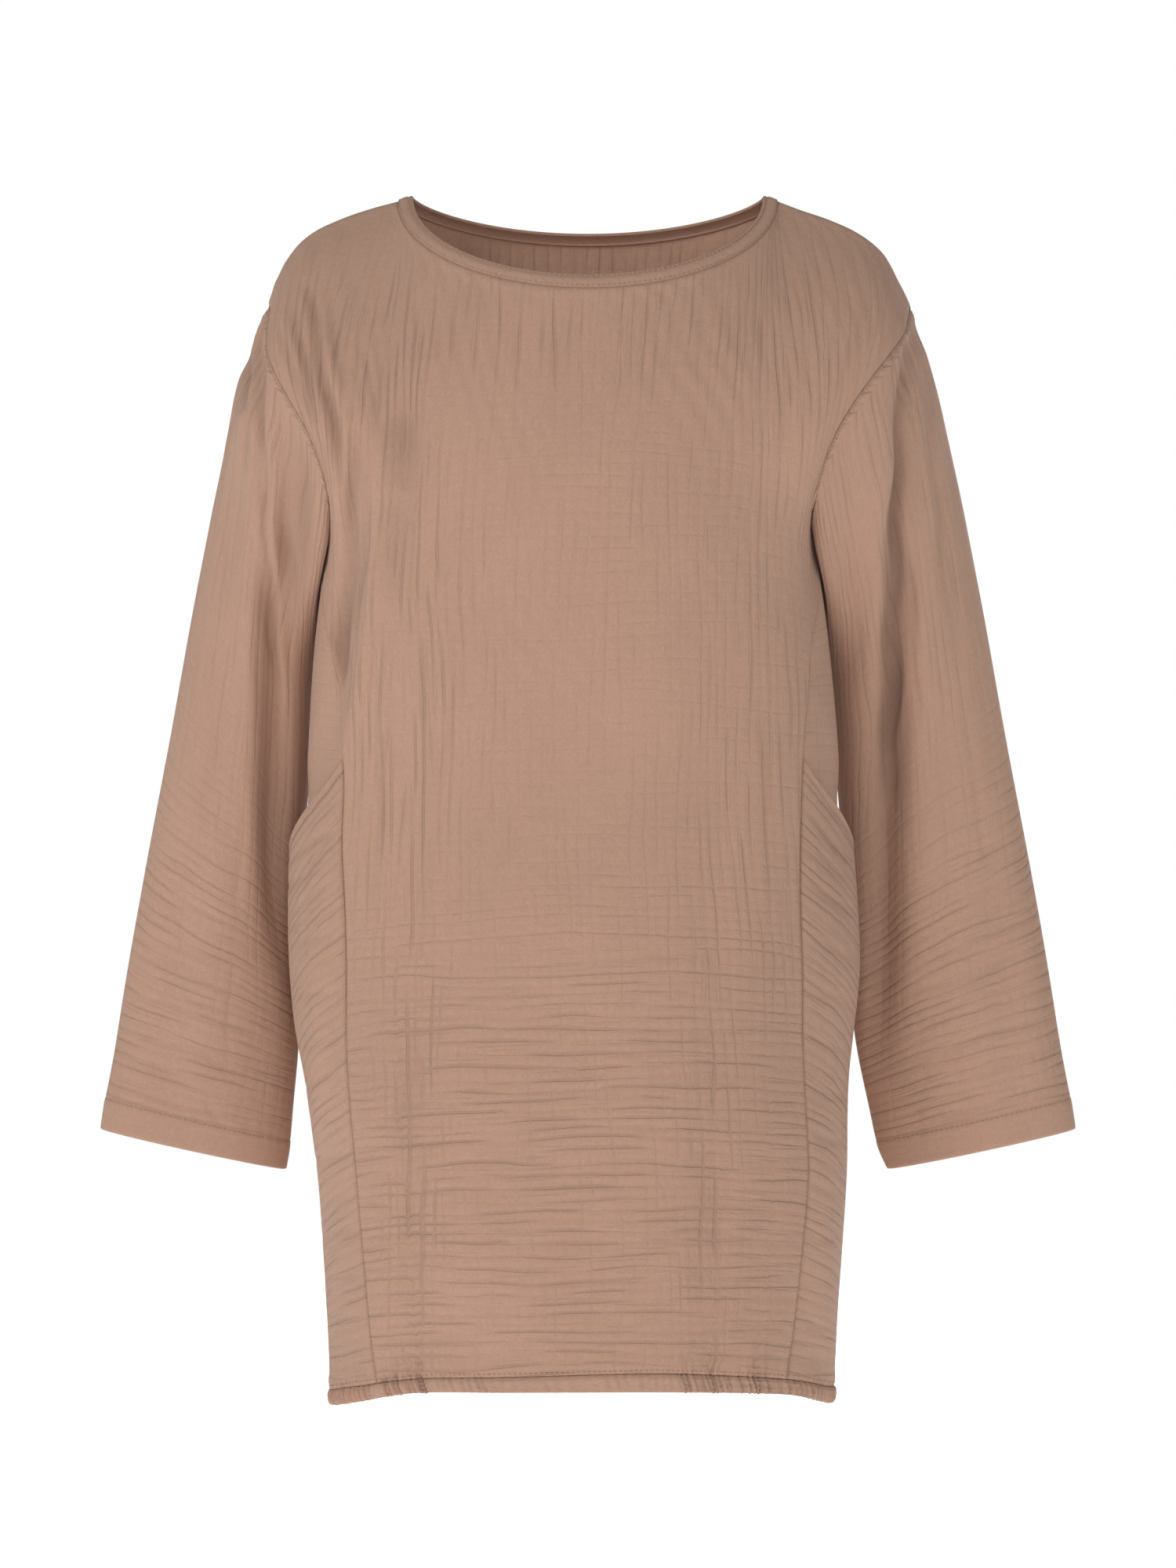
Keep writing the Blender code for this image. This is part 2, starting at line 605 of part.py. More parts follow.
def armhole_loop(side):
    """The armhole as sewn: points, the body's outward directions and the way off its edge.

    It runs from the shoulder tip down the front edge, over the side piece and up the back edge,
    through the panels' own corners, so that the sleeve follows their straight cells.
    """
    parts = []
    for face in (FRONT, BACK):
        points, directions = panel_grid(face)
        edge = 0 if side == LEFT else -1
        line = points[:ARMHOLE_ROWS + 1, edge]
        facing = directions[:ARMHOLE_ROWS + 1, edge]
        fall = np.gradient(line, axis=0)
        parts.append((line, facing, unit(np.cross(facing, fall)) * -face * side))
    under = side_cloth(side, 0.0, 0.0)
    facing = np.array([side, 0.0, 0.0])
    up = np.array([0.0, 0.0, 1.0])
    loop = [np.concatenate([front, middle[None], back[:0:-1]])
            for front, middle, back in zip(parts[0], (under, facing, up), parts[1])]
    return loop


def loop_columns(loop_points):
    """Places of the sleeve's columns along the armhole: finer over the gathered head."""
    last = len(loop_points)
    cuts = [HEAD_CUTS if cell < HEAD_CELLS or cell >= last - HEAD_CELLS else BODY_CUTS
            for cell in range(last)]
    return np.concatenate([cell + np.arange(n) / n for cell, n in enumerate(cuts)])


def read_loop(values, places):
    """Values of a closed loop at part places, straight from one corner to the next."""
    low = places.astype(int)
    part = (places - low)[..., None]
    return values[low] * (1 - part) + values[(low + 1) % len(values)] * part


def ring_degrees(loop_points, places):
    """Degrees round the sleeve for places on the armhole: 0 shoulder tip, 180 underarm."""
    under = ARMHOLE_ROWS + 1
    steps = np.linalg.norm(np.roll(loop_points, -1, axis=0) - loop_points, axis=1)
    lengths = np.concatenate([[0.0], np.cumsum(steps)])
    at = np.interp(places, np.arange(len(lengths)), lengths)
    return np.interp(at, (0, lengths[under], lengths[-1]), (0, 180, 360))


def sleeve_ring(side, degrees, drop):
    """Outer point of the sleeve below its head: 0 outer edge, 90 front, 180 inner edge."""
    inner = "left_inner_x" if side == LEFT else "right_inner_x"
    read = {name: column(SLEEVE, "drop", name, drop) for name in SleeveRing._fields[1:]}
    outer = stack(side * read["outer_x"], read["outer_y"], read["outer_z"])
    inside = stack(side * read[inner], read["inner_y"], read["inner_z"])
    angle = np.radians(degrees)
    points = (outer + inside) / 2 + np.cos(angle)[..., None] * (outer - inside) / 2
    points[..., 1] -= read["depth"] * np.sin(angle)
    return points


def sleeve_cloth(side, seam, off_edge, degrees, drop):
    """Sleeve from the armhole seam: its head leaves the body's edge and bends into the rings."""
    first = sleeve_ring(side, degrees, float(HEAD_DROP) + 0 * drop)
    below = sleeve_ring(side, degrees, HEAD_DROP + 10.0 + 0 * drop)
    reach = np.linalg.norm(first - seam, axis=-1, keepdims=True)
    straight = unit(first - seam)
    carry = np.clip(np.sum(straight * off_edge, axis=-1, keepdims=True), 0, 1)
    leave = unit(straight + off_edge * carry * HEAD_CARRY) * reach
    arrive = (below - first) * HEAD_DROP / 10.0
    t = np.clip(drop / HEAD_DROP, 0, 1)[..., None]
    head = (seam * (1 + 2 * t) * (1 - t) ** 2 + leave * t * (1 - t) ** 2
            + first * t ** 2 * (3 - 2 * t) - arrive * t ** 2 * (1 - t))
    return np.where(t < 1, head, sleeve_ring(side, degrees, drop)), carry[..., 0]


def sleeve_folds(side, degrees, drop):
    """How far the sleeve's long folds stand out at each point."""
    total = np.zeros_like(degrees)
    for fold in SLEEVE_FOLDS:
        if fold.side != side:
            continue
        t = (drop - fold.top) / (fold.bottom - fold.top)
        path = smooth((0, 0.5, 1), (fold.top_at, fold.middle_at, fold.bottom_at), t)
        fade = ease(t / FOLD_FADE) * ease((1 - t) / FOLD_FADE)
        total += fold.depth * fade * np.exp(-((degrees - path) / fold.width) ** 2)
    return total


def clear_of_body(side, points):
    """Sleeve points kept just outside the body's side, which the sleeve hangs against."""
    y, z = points[..., 1], points[..., 2]
    in_front = y < 0
    depth = np.where(in_front, column(BODY, "z", "front", z), column(BODY, "z", "back", z))
    power = np.where(in_front, FRONT_POWER, BACK_POWER)
    width = column(BODY, "z", "half_width", z)
    reach = width * np.clip(1 - (np.abs(y) / depth) ** power, 0, 1) ** (1 / power)
    bulge = pocket_swell(z) * np.clip(1 - np.abs(y) / 60.0, 0, 1)
    edge = side * column(BODY, "z", "shift", z) + reach + bulge + SLEEVE_CLEARANCE
    result = points.copy()
    result[..., 0] = side * np.maximum(side * points[..., 0], edge)
    return result


def pocket_swell(z):
    return column(POCKET_BULGE, "z", "out", z) * ease((-380.0 - z) / 30.0)


def head_gathers(places, count, drop):
    """Waves of the gathered sleeve head: one column out, the next one in, fading downwards."""
    from_tip = np.minimum(places, count - places)
    in_head = ease((HEAD_CELLS + 0.2 - from_tip) / 0.8)
    order = np.round(places * HEAD_CUTS)
    swing = np.where(np.mod(order, 2) == 0, 1.0, -1.0)
    reach = HEAD_REACH * (1 + 0.35 * np.sin(order * 2.3))
    fade = ease(drop / 9.0) * np.clip(1 - drop / reach, 0, 1)
    return HEAD_WAVE * swing * in_head * fade


def make_sleeve(name, side):
    corners, facing, off_edge = armhole_loop(side)
    places = loop_columns(corners)
    seam, facing, off_edge = (read_loop(part, places) for part in (corners, facing, off_edge))
    facing, off_edge = unit(facing), unit(off_edge)
    degrees, drop = np.meshgrid(ring_degrees(corners, places), np.array(SLEEVE_ROWS, float))
    points, carry = sleeve_cloth(side, seam, off_edge, degrees, drop)
    outward = -side * grid_normals(points)
    swell = HEAD_SWELL * carry * drop / SWELL_DROP * np.exp(1 - drop / SWELL_DROP)
    waves = head_gathers(places[None], len(corners), drop)
    points = points + outward * (swell + waves + sleeve_folds(side, degrees, drop))[..., None]
    points[1:] = clear_of_body(side, points[1:])
    folded = 0.5 - 0.5 * np.sum(unit(points[1] - seam) * off_edge, axis=-1, keepdims=True)
    points[0] = seam + off_edge * SEAM / 2 + facing * FOLD_GAP * folded
    shared = np.clip(np.sum(outward[0] * facing, axis=-1, keepdims=True), 0, 1) * 3
    outward[0] = unit(outward[0] + facing * shared)
    if side == RIGHT:
        points, outward = points[:, ::-1], outward[:, ::-1]
    cloth_wall(name, points, outward, tube=True)


def make_neck_band(name):
    """Folded band round the neck, on the corners of the panels' neck seams."""
    rings = []
    for face in (FRONT, BACK):
        points, directions = panel_grid(face)
        inside = slice(SHOULDER_COLUMNS, -SHOULDER_COLUMNS)
        seam, facing = points[0, inside], directions[0, inside]
        cells = len(seam) - 1
        places = np.arange(2 * cells + 1) / 2
        turn = np.radians(180 * places / cells - 90)
        low = np.minimum(places.astype(int), cells - 1)
        part = (places - low)[:, None]
        bottom = seam[low] * (1 - part) + seam[low + 1] * part
        outward = unit(facing[low] * (1 - part) + facing[low + 1] * part)
        rings.append((bottom, band_top(face, turn), outward))
    bottom, top, facing = (np.concatenate([front[:-1], back[:0:-1]])
                           for front, back in zip(*rings))
    middle = (bottom + top) / 2
    points = np.stack([top, middle, bottom])
    outward = grid_normals(points)
    outward[2] = facing
    outward[1] = unit(outward[1] + facing)
    points[1] += outward[1] * BAND_SWELL
    points[2] += unit(points[1] - points[2]) * SEAM / 2
    cloth_wall(name, points, outward, BAND_WALL, tube=True)


def casing_angles():
    """Degrees and swing of the casing's columns, one out and one in for each gather."""
    degrees, swing = [], []
    for stretch in CASING:
        cells = 2 * stretch.waves if stretch.waves else PLAIN_CASING_CELLS
        for cell in range(cells):
            degrees.append(stretch.start + (stretch.end - stretch.start) * cell / cells)
            swing.append(stretch.swing * (1 if cell % 2 else -1))
    return np.array(degrees), np.array(swing)


def make_hem_casing(name):
    degrees, swing = casing_angles()
    rows = []
    for row in CASING_ROWS:
        top, hem = casing_top(degrees), hem_height(degrees)
        z = top + (hem - top) * row.down
        points = with_folds(body_ring(degrees, z))
        rows.append(points + out_of_body(points) * (row.swell + swing * row.swing)[:, None])
    points = np.stack(rows)[:, ::-1]
    directions = np.broadcast_to(out_of_body(points[0]), points.shape).copy()
    points[0] += np.array([0.0, 0.0, -SEAM / 2])
    cloth_wall(name, points, directions, CASING_WALL, tube=True)


def build():
    for item in list(bpy.data.objects):
        bpy.data.objects.remove(item, do_unlink=True)
    make_panel("front_panel", FRONT)
    make_panel("back_panel", BACK)
    for side, word in ((LEFT, "left"), (RIGHT, "right")):
        make_upper_side("side_upper_" + word, side)
        make_lower_side("side_lower_" + word, side)
        make_sleeve("sleeve_" + word, side)
    make_neck_band("neck_band")
    make_hem_casing("hem_casing")


build()
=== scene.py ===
"""Looks of the pull-on blouse: crinkled double gauze with its folds, creases, gathers and stitches.

Each cut piece is one thin wall of cloth on the form of its solid. Sizes are in millimetres and
become metres when a mesh is made. X runs to the right of the front view, -Y is the front.
"""
import math
from collections import namedtuple

import bpy
import numpy as np
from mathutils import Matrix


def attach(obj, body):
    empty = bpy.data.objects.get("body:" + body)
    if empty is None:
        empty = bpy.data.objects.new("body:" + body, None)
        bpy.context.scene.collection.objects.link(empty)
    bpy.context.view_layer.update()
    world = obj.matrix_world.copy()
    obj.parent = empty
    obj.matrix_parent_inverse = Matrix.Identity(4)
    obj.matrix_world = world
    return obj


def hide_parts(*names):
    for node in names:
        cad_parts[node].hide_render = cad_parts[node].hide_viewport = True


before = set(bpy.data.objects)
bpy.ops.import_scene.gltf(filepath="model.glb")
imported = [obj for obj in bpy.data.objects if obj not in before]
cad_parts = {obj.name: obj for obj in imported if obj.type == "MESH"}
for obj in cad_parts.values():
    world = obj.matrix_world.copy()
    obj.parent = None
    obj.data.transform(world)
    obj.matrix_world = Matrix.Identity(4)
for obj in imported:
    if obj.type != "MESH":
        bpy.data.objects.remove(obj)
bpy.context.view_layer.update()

MM = 0.001
FRONT, BACK = -1, 1
LEFT, RIGHT = -1, 1

# Thickness of one layer as worn, of a turned hem and of the folded band
CLOTH = 1.0
HEM_CLOTH = 2.0
BAND_CLOTH = 2.0
# Height of the neck band, and about that of the casing
BAND_HEIGHT = 11.0

# Rounding of the body's rings: 2 is an ellipse, more is squarer
FRONT_POWER = 2.3
BACK_POWER = 2.05

# Neck, on the seam of the band and on its top edge
NECK_HALF_WIDTH = 121.5
NECK_POINT_Z = -3.0
NECK_MIDDLE = {FRONT: (-80.0, -63.6), BACK: (78.0, -25.3)}
BAND_HALF_WIDTH = 112.0
BAND_POINT_Z = 0.0
BAND_MIDDLE = {FRONT: (-74.5, -55.3), BACK: (70.6, -18.6)}
BACK_DIP_POWER = 1.5

# How the upper body bends over towards the shoulders, as in the solids
TIP_ARC = 90.0
NECK_POINT_ARC = {FRONT: 60.0, BACK: 68.0}
NECK_ARC = {FRONT: 40.0, BACK: 52.0}
ARMHOLE_REACH, UNDERARM_REACH = 0.34, 0.13
ARMHOLE_FADE = 1.5
MIDDLE_SINK, ARMHOLE_SINK = 1.7, 2.2
NECK_POINT_ROUNDING = 0.09
ARMHOLE_ROWS = 10
YOKE_LEVEL = 2
YOKE_ROWS = ARMHOLE_ROWS + YOKE_LEVEL
LEVELS = np.array((-222, -236, -250, -268, -285, -307, -330, -360, -387, -414, -445, -480, -520,
                   -560, -600, -640, -680, -715), float)
LAST_ROW = ARMHOLE_ROWS + len(LEVELS)
SHOULDER_SHARE = {FRONT: 5 / 24, BACK: 5 / 20}

Ring = namedtuple("Ring", "z half_width shift front back")
BODY = (
    Ring(-767, 159.5, -4.3, 118, 122), Ring(-725, 161.5, -4.0, 124, 126),
    Ring(-675, 165.0, -3.5, 130, 129), Ring(-615, 169.5, -4.0, 133, 129),
    Ring(-575, 172.0, -6.5, 135, 128), Ring(-535, 173.5, -8.5, 134, 125),
    Ring(-495, 174.0, -8.5, 133, 123), Ring(-445, 173.0, -9.8, 130, 119),
    Ring(-415, 171.5, -10.5, 126, 115), Ring(-375, 170.0, -9.5, 120, 110),
    Ring(-285, 163.7, -10.3, 118, 108), Ring(-222, 155.8, -10.7, 115, 106),
)
SeamAngle = namedtuple("SeamAngle", "z degrees")
PANEL_SEAM = (
    SeamAngle(-752, 39.9), SeamAngle(-725, 37.5), SeamAngle(-680, 36.0), SeamAngle(-615, 35.3),
    SeamAngle(-575, 36.0), SeamAngle(-500, 37.0), SeamAngle(-445, 36.5), SeamAngle(-414, 35.1),
    SeamAngle(-360, 33.3), SeamAngle(-328, 29.5), SeamAngle(-307, 25.4), SeamAngle(-285, 21.2),
    SeamAngle(-250, 8.4), SeamAngle(-222, 3.0),
)
HemPoint = namedtuple("HemPoint", "degrees hem_z casing")
HEM = (
    HemPoint(-10, -768, 10.5), HemPoint(10, -767.5, 10.8), HemPoint(39, -757.6, 10.0),
    HemPoint(54, -755.0, 10.8), HemPoint(75, -753.2, 12.2), HemPoint(105, -753.4, 10.0),
    HemPoint(127, -755.0, 9.2), HemPoint(150, -763.5, 10.2), HemPoint(180, -770, 9.8),
    HemPoint(215, -765, 10.5), HemPoint(270, -760, 11.0), HemPoint(325, -764, 10.8),
    HemPoint(350, -768, 10.5), HemPoint(370, -767.5, 10.8),
)
ShoulderPoint = namedtuple("ShoulderPoint", "z left right")
SHOULDER = (
    ShoulderPoint(-3.0, 121.5, 121.5), ShoulderPoint(-7.5, 138.0, 133.0),
    ShoulderPoint(-15.0, 159.5, 154.5), ShoulderPoint(-22.5, 175.0, 171.0),
    ShoulderPoint(-30.0, 184.5, 182.0), ShoulderPoint(-37.5, 190.5, 189.5),
    ShoulderPoint(-45.0, 195.0, 194.0), ShoulderPoint(-52.5, 198.5, 197.5),
    ShoulderPoint(-60.0, 201.5, 201.5), ShoulderPoint(-70.0, 204.0, 206.0),
)
ArmholePoint = namedtuple("ArmholePoint", "out reach z")
ARMHOLE = {
    LEFT: (
        ArmholePoint(204.0, 0, -70), ArmholePoint(202.0, 20, -77), ArmholePoint(203.0, 34, -91),
        ArmholePoint(202.5, 46, -104), ArmholePoint(197.0, 56, -117),
        ArmholePoint(189.5, 62, -131), ArmholePoint(179.0, 66, -149),
        ArmholePoint(165.5, 61, -183), ArmholePoint(162.5, 38, -209),
    ),
    RIGHT: (
        ArmholePoint(206.0, 0, -70), ArmholePoint(203.5, 20, -80), ArmholePoint(201.0, 34, -89),
        ArmholePoint(192.5, 48, -101.5), ArmholePoint(178.5, 60, -119.5),
        ArmholePoint(165.5, 66, -138), ArmholePoint(155.0, 67, -156.5),
        ArmholePoint(145.0, 62, -184), ArmholePoint(141.5, 40, -208),
    ),
}

# Soft folds of the body: where each runs, how wide it is and how far it stands out
BodyFold = namedtuple("BodyFold", "face top_z bottom_z top_x middle_x bottom_x width depth")
BODY_FOLDS = (
    BodyFold(FRONT, -150, -378, -143, -153, -167, 7.0, -5.0),
    BodyFold(FRONT, -190, -372, -124, -137, -153, 8.0, 2.6),
    BodyFold(FRONT, -385, -640, -160, -167, -174, 6.0, 2.4),
    BodyFold(FRONT, -560, -790, 144, 148, 154, 7.0, 2.6),
    BodyFold(FRONT, -170, -350, 128, 140, 149, 8.0, -2.6),
    BodyFold(FRONT, -330, -740, 74, 80, 66, 16.0, -2.2),
    BodyFold(FRONT, -300, -700, -104, -98, -112, 14.0, -2.4),
    BodyFold(BACK, -150, -380, -132, -142, -156, 9.0, -4.0),
    BodyFold(BACK, -160, -400, 124, 132, 140, 9.0, -3.6),
    BodyFold(BACK, -260, -740, -58, -66, -74, 18.0, 2.8),
    BodyFold(BACK, -240, -740, 44, 52, 58, 18.0, 2.6),
)
FOLD_FADE = 0.3
FOLD_INSIDE = 0.1

# Pocket between the side pieces
POCKET_BOTTOM_LEVEL = 13
MOUTH_FRONT_LEVEL, MOUTH_SIDE_LEVEL, MOUTH_BACK_LEVEL = 7, 9, 10
POCKET_ROWS = len(LEVELS) - MOUTH_FRONT_LEVEL
MOUTH_ROW = 0.12
POCKET_INSET = 1.9
PocketBulge = namedtuple("PocketBulge", "z out")
POCKET_BULGE = (
    PocketBulge(-590, 0.0), PocketBulge(-560, 1.4), PocketBulge(-532, 4.8),
    PocketBulge(-495, 8.0), PocketBulge(-445, 8.6), PocketBulge(-414, 8.2),
    PocketBulge(-390, 6.0), PocketBulge(-360, 2.5),
)
POCKET_ROUNDING = 0.8

# Sleeve rings below its head, by distance down the outer edge from the armhole seam
HEAD_DROP = 141
SLEEVE_END = 538.0
SleeveRing = namedtuple(
    "SleeveRing", "drop outer_x outer_y outer_z left_inner_x right_inner_x inner_y inner_z depth")
SLEEVE = (
    SleeveRing(141, 242, 30, -205, 176, 156, 42, -315, 51),
    SleeveRing(207, 255, 36, -270, 179, 160, 46, -370, 46),
    SleeveRing(283, 269, 39, -345, 185, 165, 47, -430, 42),
    SleeveRing(360, 283, 40, -420, 187.5, 168, 46, -485, 38),
    SleeveRing(441, 297, 37, -500, 186, 172, 42, -540, 34),
    SleeveRing(497, 306, 35, -555, 189.5, 180.5, 40, -582, 31),
    SleeveRing(524, 311, 34, -582, 192, 187, 38, -610, 29),
    SleeveRing(538, 313, 33, -596, 194, 192.5, 36, -622, 28),
)
HEAD_SWELL = 2.4
# How much fuller the outside of the sleeve's head is than in the solids
HEAD_FULLER = {LEFT: 5.5, RIGHT: 1.8}
SWELL_DROP = 22.0
SLEEVE_CLEARANCE = 1.5
SleeveFold = namedtuple("SleeveFold", "side top bottom top_at middle_at bottom_at width depth")
SLEEVE_FOLDS = (
    SleeveFold(LEFT, 20, 380, 62, 92, 122, 15, 4.5),
    SleeveFold(LEFT, 20, 400, 92, 120, 146, 15, -8.5),
    SleeveFold(RIGHT, 60, 520, 88, 126, 150, 17, -9.0),
    SleeveFold(RIGHT, 60, 500, 62, 98, 124, 15, 3.0),
    SleeveFold(LEFT, 300, 560, 60, 66, 70, 16, -3.0),
    SleeveFold(RIGHT, 300, 560, 52, 58, 66, 16, -3.0),
    SleeveFold(LEFT, 60, 480, 285, 262, 240, 17, -6.5),
    SleeveFold(RIGHT, 50, 470, 280, 258, 236, 17, -6.0),
)

# Gathers drawn up by the elastic, as stretches round the hem: 0 is the right side, 90 the front
Gathers = namedtuple("Gathers", "start end waves swing")
GATHERS = (
    Gathers(0, 44, 15, 1.2), Gathers(46, 56, 5, 1.3), Gathers(58, 72, 12, 0.9),
    Gathers(78, 100, 9, 0.25), Gathers(108, 122, 7, 0.5), Gathers(124, 139, 8, 1.6),
    Gathers(143, 172, 12, 1.4), Gathers(172, 236, 22, 1.3), Gathers(240, 300, 16, 0.6),
    Gathers(304, 360, 20, 1.3),
)

# Creases, listed as paths in the front view: width and depth in millimetres, a minus
# depth is a trough. The ones of a hidden side are like those of the side that shows.
Crease = namedtuple("Crease", "width depth path")
FRONT_CREASES = (
    # the recess beside the left sleeve and the ridge next to it
    Crease(4.6, -6.0, ((-147, -150), (-149, -215), (-155, -275), (-162, -325), (-168, -378))),
    Crease(3.4, -2.6, ((-138, -160), (-141, -225), (-147, -285), (-154, -350))),
    Crease(6.0, 2.2, ((-130, -205), (-134, -250), (-141, -290), (-148, -330), (-154, -372))),
    Crease(2.8, -1.4, ((-124, -300), (-127, -350), (-131, -410), (-134, -470))),
    Crease(6.0, -1.6, ((139, -170), (143, -230), (149, -300), (152, -380))),
    Crease(9.0, -1.8, ((-116, -128), (-115, -165), (-118, -210), (-124, -260))),
    # from the left shoulder down to the armhole
    Crease(3.2, -3.0, ((-187, -68), (-181, -102), (-176, -122), (-169, -150))),
    Crease(3.6, -5.0, ((-178, -56), (-170.5, -96), (-166.5, -117), (-161, -148), (-154, -190))),
    Crease(4.5, 1.8, ((-169, -66), (-163, -98), (-158, -122), (-152, -158))),
    Crease(3.0, -2.0, ((-163, -66), (-157, -110), (-151, -145))),
    Crease(2.8, -1.2, ((-194, -84), (-189, -104), (-184, -124))),
    # from the right shoulder
    Crease(3.6, -1.0, ((178, -66), (170, -92), (162, -118), (155, -142))),
    Crease(3.2, -0.6, ((164, -62), (158, -88), (152, -112))),
    # under the neck, where the cloth hangs from the band
    Crease(2.4, -1.7, ((-141, -92), (-137, -118), (-133, -158))),
    Crease(2.2, -1.2, ((-147, -108), (-142, -130), (-138, -152))),
    Crease(2.4, -1.1, ((-134, -90), (-132, -125), (-130, -152))),
    Crease(13.0, -3.2, ((-120, -140), (-115, -163), (-117, -190))),
    Crease(2.8, -0.9, ((-126, -72), (-125, -95), (-128, -120), (-131, -150))),
    Crease(2.6, -0.5, ((-109, -68), (-108, -92), (-110, -113))),
    Crease(2.6, -0.5, ((-95, -84), (-97, -110))),
    Crease(2.6, -0.35, ((-80, -74), (-79, -98), (-81, -118))),
    Crease(2.6, -0.35, ((-63, -72), (-62, -96))),
    Crease(2.6, -0.5, ((-46, -80), (-46, -112))),
    Crease(2.4, -0.35, ((-31, -72), (-30, -98))),
    Crease(2.4, -0.6, ((-18, -74), (-18, -100), (-20, -123))),
    Crease(2.4, -0.5, ((-5.5, -72), (-6, -104))),
    Crease(2.4, -0.4, ((14, -100), (13, -132))),
    Crease(2.4, -0.45, ((24, -76), (23, -98), (24, -120))),
    Crease(2.4, -0.4, ((33, -92), (34, -114))),
    Crease(2.6, -0.4, ((52, -76), (53, -112))),
    Crease(2.6, -0.6, ((70, -72), (71, -100), (70, -126))),
    Crease(2.6, -0.4, ((88, -66), (90, -98))),
    Crease(2.6, -0.55, ((105, -58), (108, -96), (110, -124))),
    Crease(2.6, -0.5, ((124, -60), (126, -100), (127, -138))),
    Crease(2.6, -0.6, ((140, -66), (139, -104), (138, -146))),
    # at the left breast
    Crease(2.8, -1.0, ((-126, -186), (-129, -215), (-133, -250), (-136, -290))),
    Crease(2.6, -0.7, ((-121, -190), (-123, -222), (-125, -262))),
    Crease(2.6, -0.5, ((-109, -187), (-110, -214), (-109, -246))),
    Crease(2.6, -0.4, ((-97, -186), (-97, -212))),
    Crease(2.6, -0.4, ((-91, -220), (-90, -250))),
    Crease(2.6, -0.35, ((-73, -208), (-73, -240))),
    Crease(2.4, -0.35, ((-43, -182), (-42, -207))),
    Crease(2.4, -0.35, ((-21, -168), (-21, -190))),
    # at the right breast
    Crease(2.8, -0.6, ((133, -196), (137, -236), (141, -272))),
    Crease(2.6, -0.45, ((118, -190), (120, -232))),
    Crease(2.6, -0.35, ((98, -206), (99, -240))),
    # long upright ones
    Crease(3.4, -0.9, ((-103, -228), (-100, -330), (-99.5, -400), (-99, -472))),
    Crease(3.0, -0.4, ((-84, -262), (-83, -330), (-85, -380))),
    Crease(5.5, -0.9, ((-110, -520), (-110.5, -590), (-109, -660), (-106, -722))),
    Crease(2.4, -0.7, ((-116.5, -500), (-115.5, -570), (-114.5, -640), (-113, -722))),
    Crease(2.4, -0.7, ((-105, -512), (-103.5, -590), (-102, -650), (-98, -724))),
    Crease(6.0, -0.7, ((76, -548), (77, -640), (75, -735))),
    Crease(2.4, -0.6, ((68, -552), (68, -640), (67, -730))),
    Crease(2.4, -0.6, ((84, -560), (85, -640), (82, -736))),
    Crease(3.0, -0.5, ((112, -330), (114, -420), (113, -500))),
    # long level ones of the lower front
    Crease(2.4, -0.5, ((-82, -562), (-40, -563), (4, -566), (40, -564))),
    Crease(2.6, -0.7, ((-150, -604), (-115, -598), (-83, -597.5), (-43, -597.5))),
    Crease(2.4, -0.5, ((-92, -607), (-43, -608.5), (-7, -609))),
    Crease(2.4, -0.5, ((-48, -623), (4, -624), (50, -621))),
    Crease(2.6, -0.6, ((-137, -658), (-103, -655), (-63, -657), (-38, -660))),
    Crease(2.4, -0.5, ((-63, -682), (4, -684), (46, -682))),
    Crease(2.4, -0.5, ((-120, -666), (-71, -665))),
    Crease(2.4, -0.4, ((-145, -623), (-116, -619))),
    Crease(2.4, -0.5, ((-116, -629), (-83, -628), (-48, -628))),
    Crease(2.6, -0.5, ((-20, -480), (30, -483), (84, -479))),
    Crease(2.4, -0.4, ((-88, -506), (-40, -503), (6, -506))),
    Crease(2.4, -0.4, ((18, -526), (72, -530), (118, -526))),
    Crease(2.4, -0.5, ((8, -590), (56, -586), (106, -589))),
    Crease(2.4, -0.5, ((88, -612), (118, -608), (133, -611))),
    Crease(2.4, -0.5, ((28, -655), (66, -652), (112, -657))),
    Crease(2.4, -0.5, ((-84, -705), (-30, -702), (22, -706))),
    Crease(2.4, -0.5, ((40, -716), (90, -712), (124, -716))),
    Crease(2.6, -0.6, ((-132, -722), (-96, -719), (-60, -722))),
    # pleat at the right panel seam
    Crease(2.6, -1.0, ((143, -577), (138, -568), (134, -556))),
)
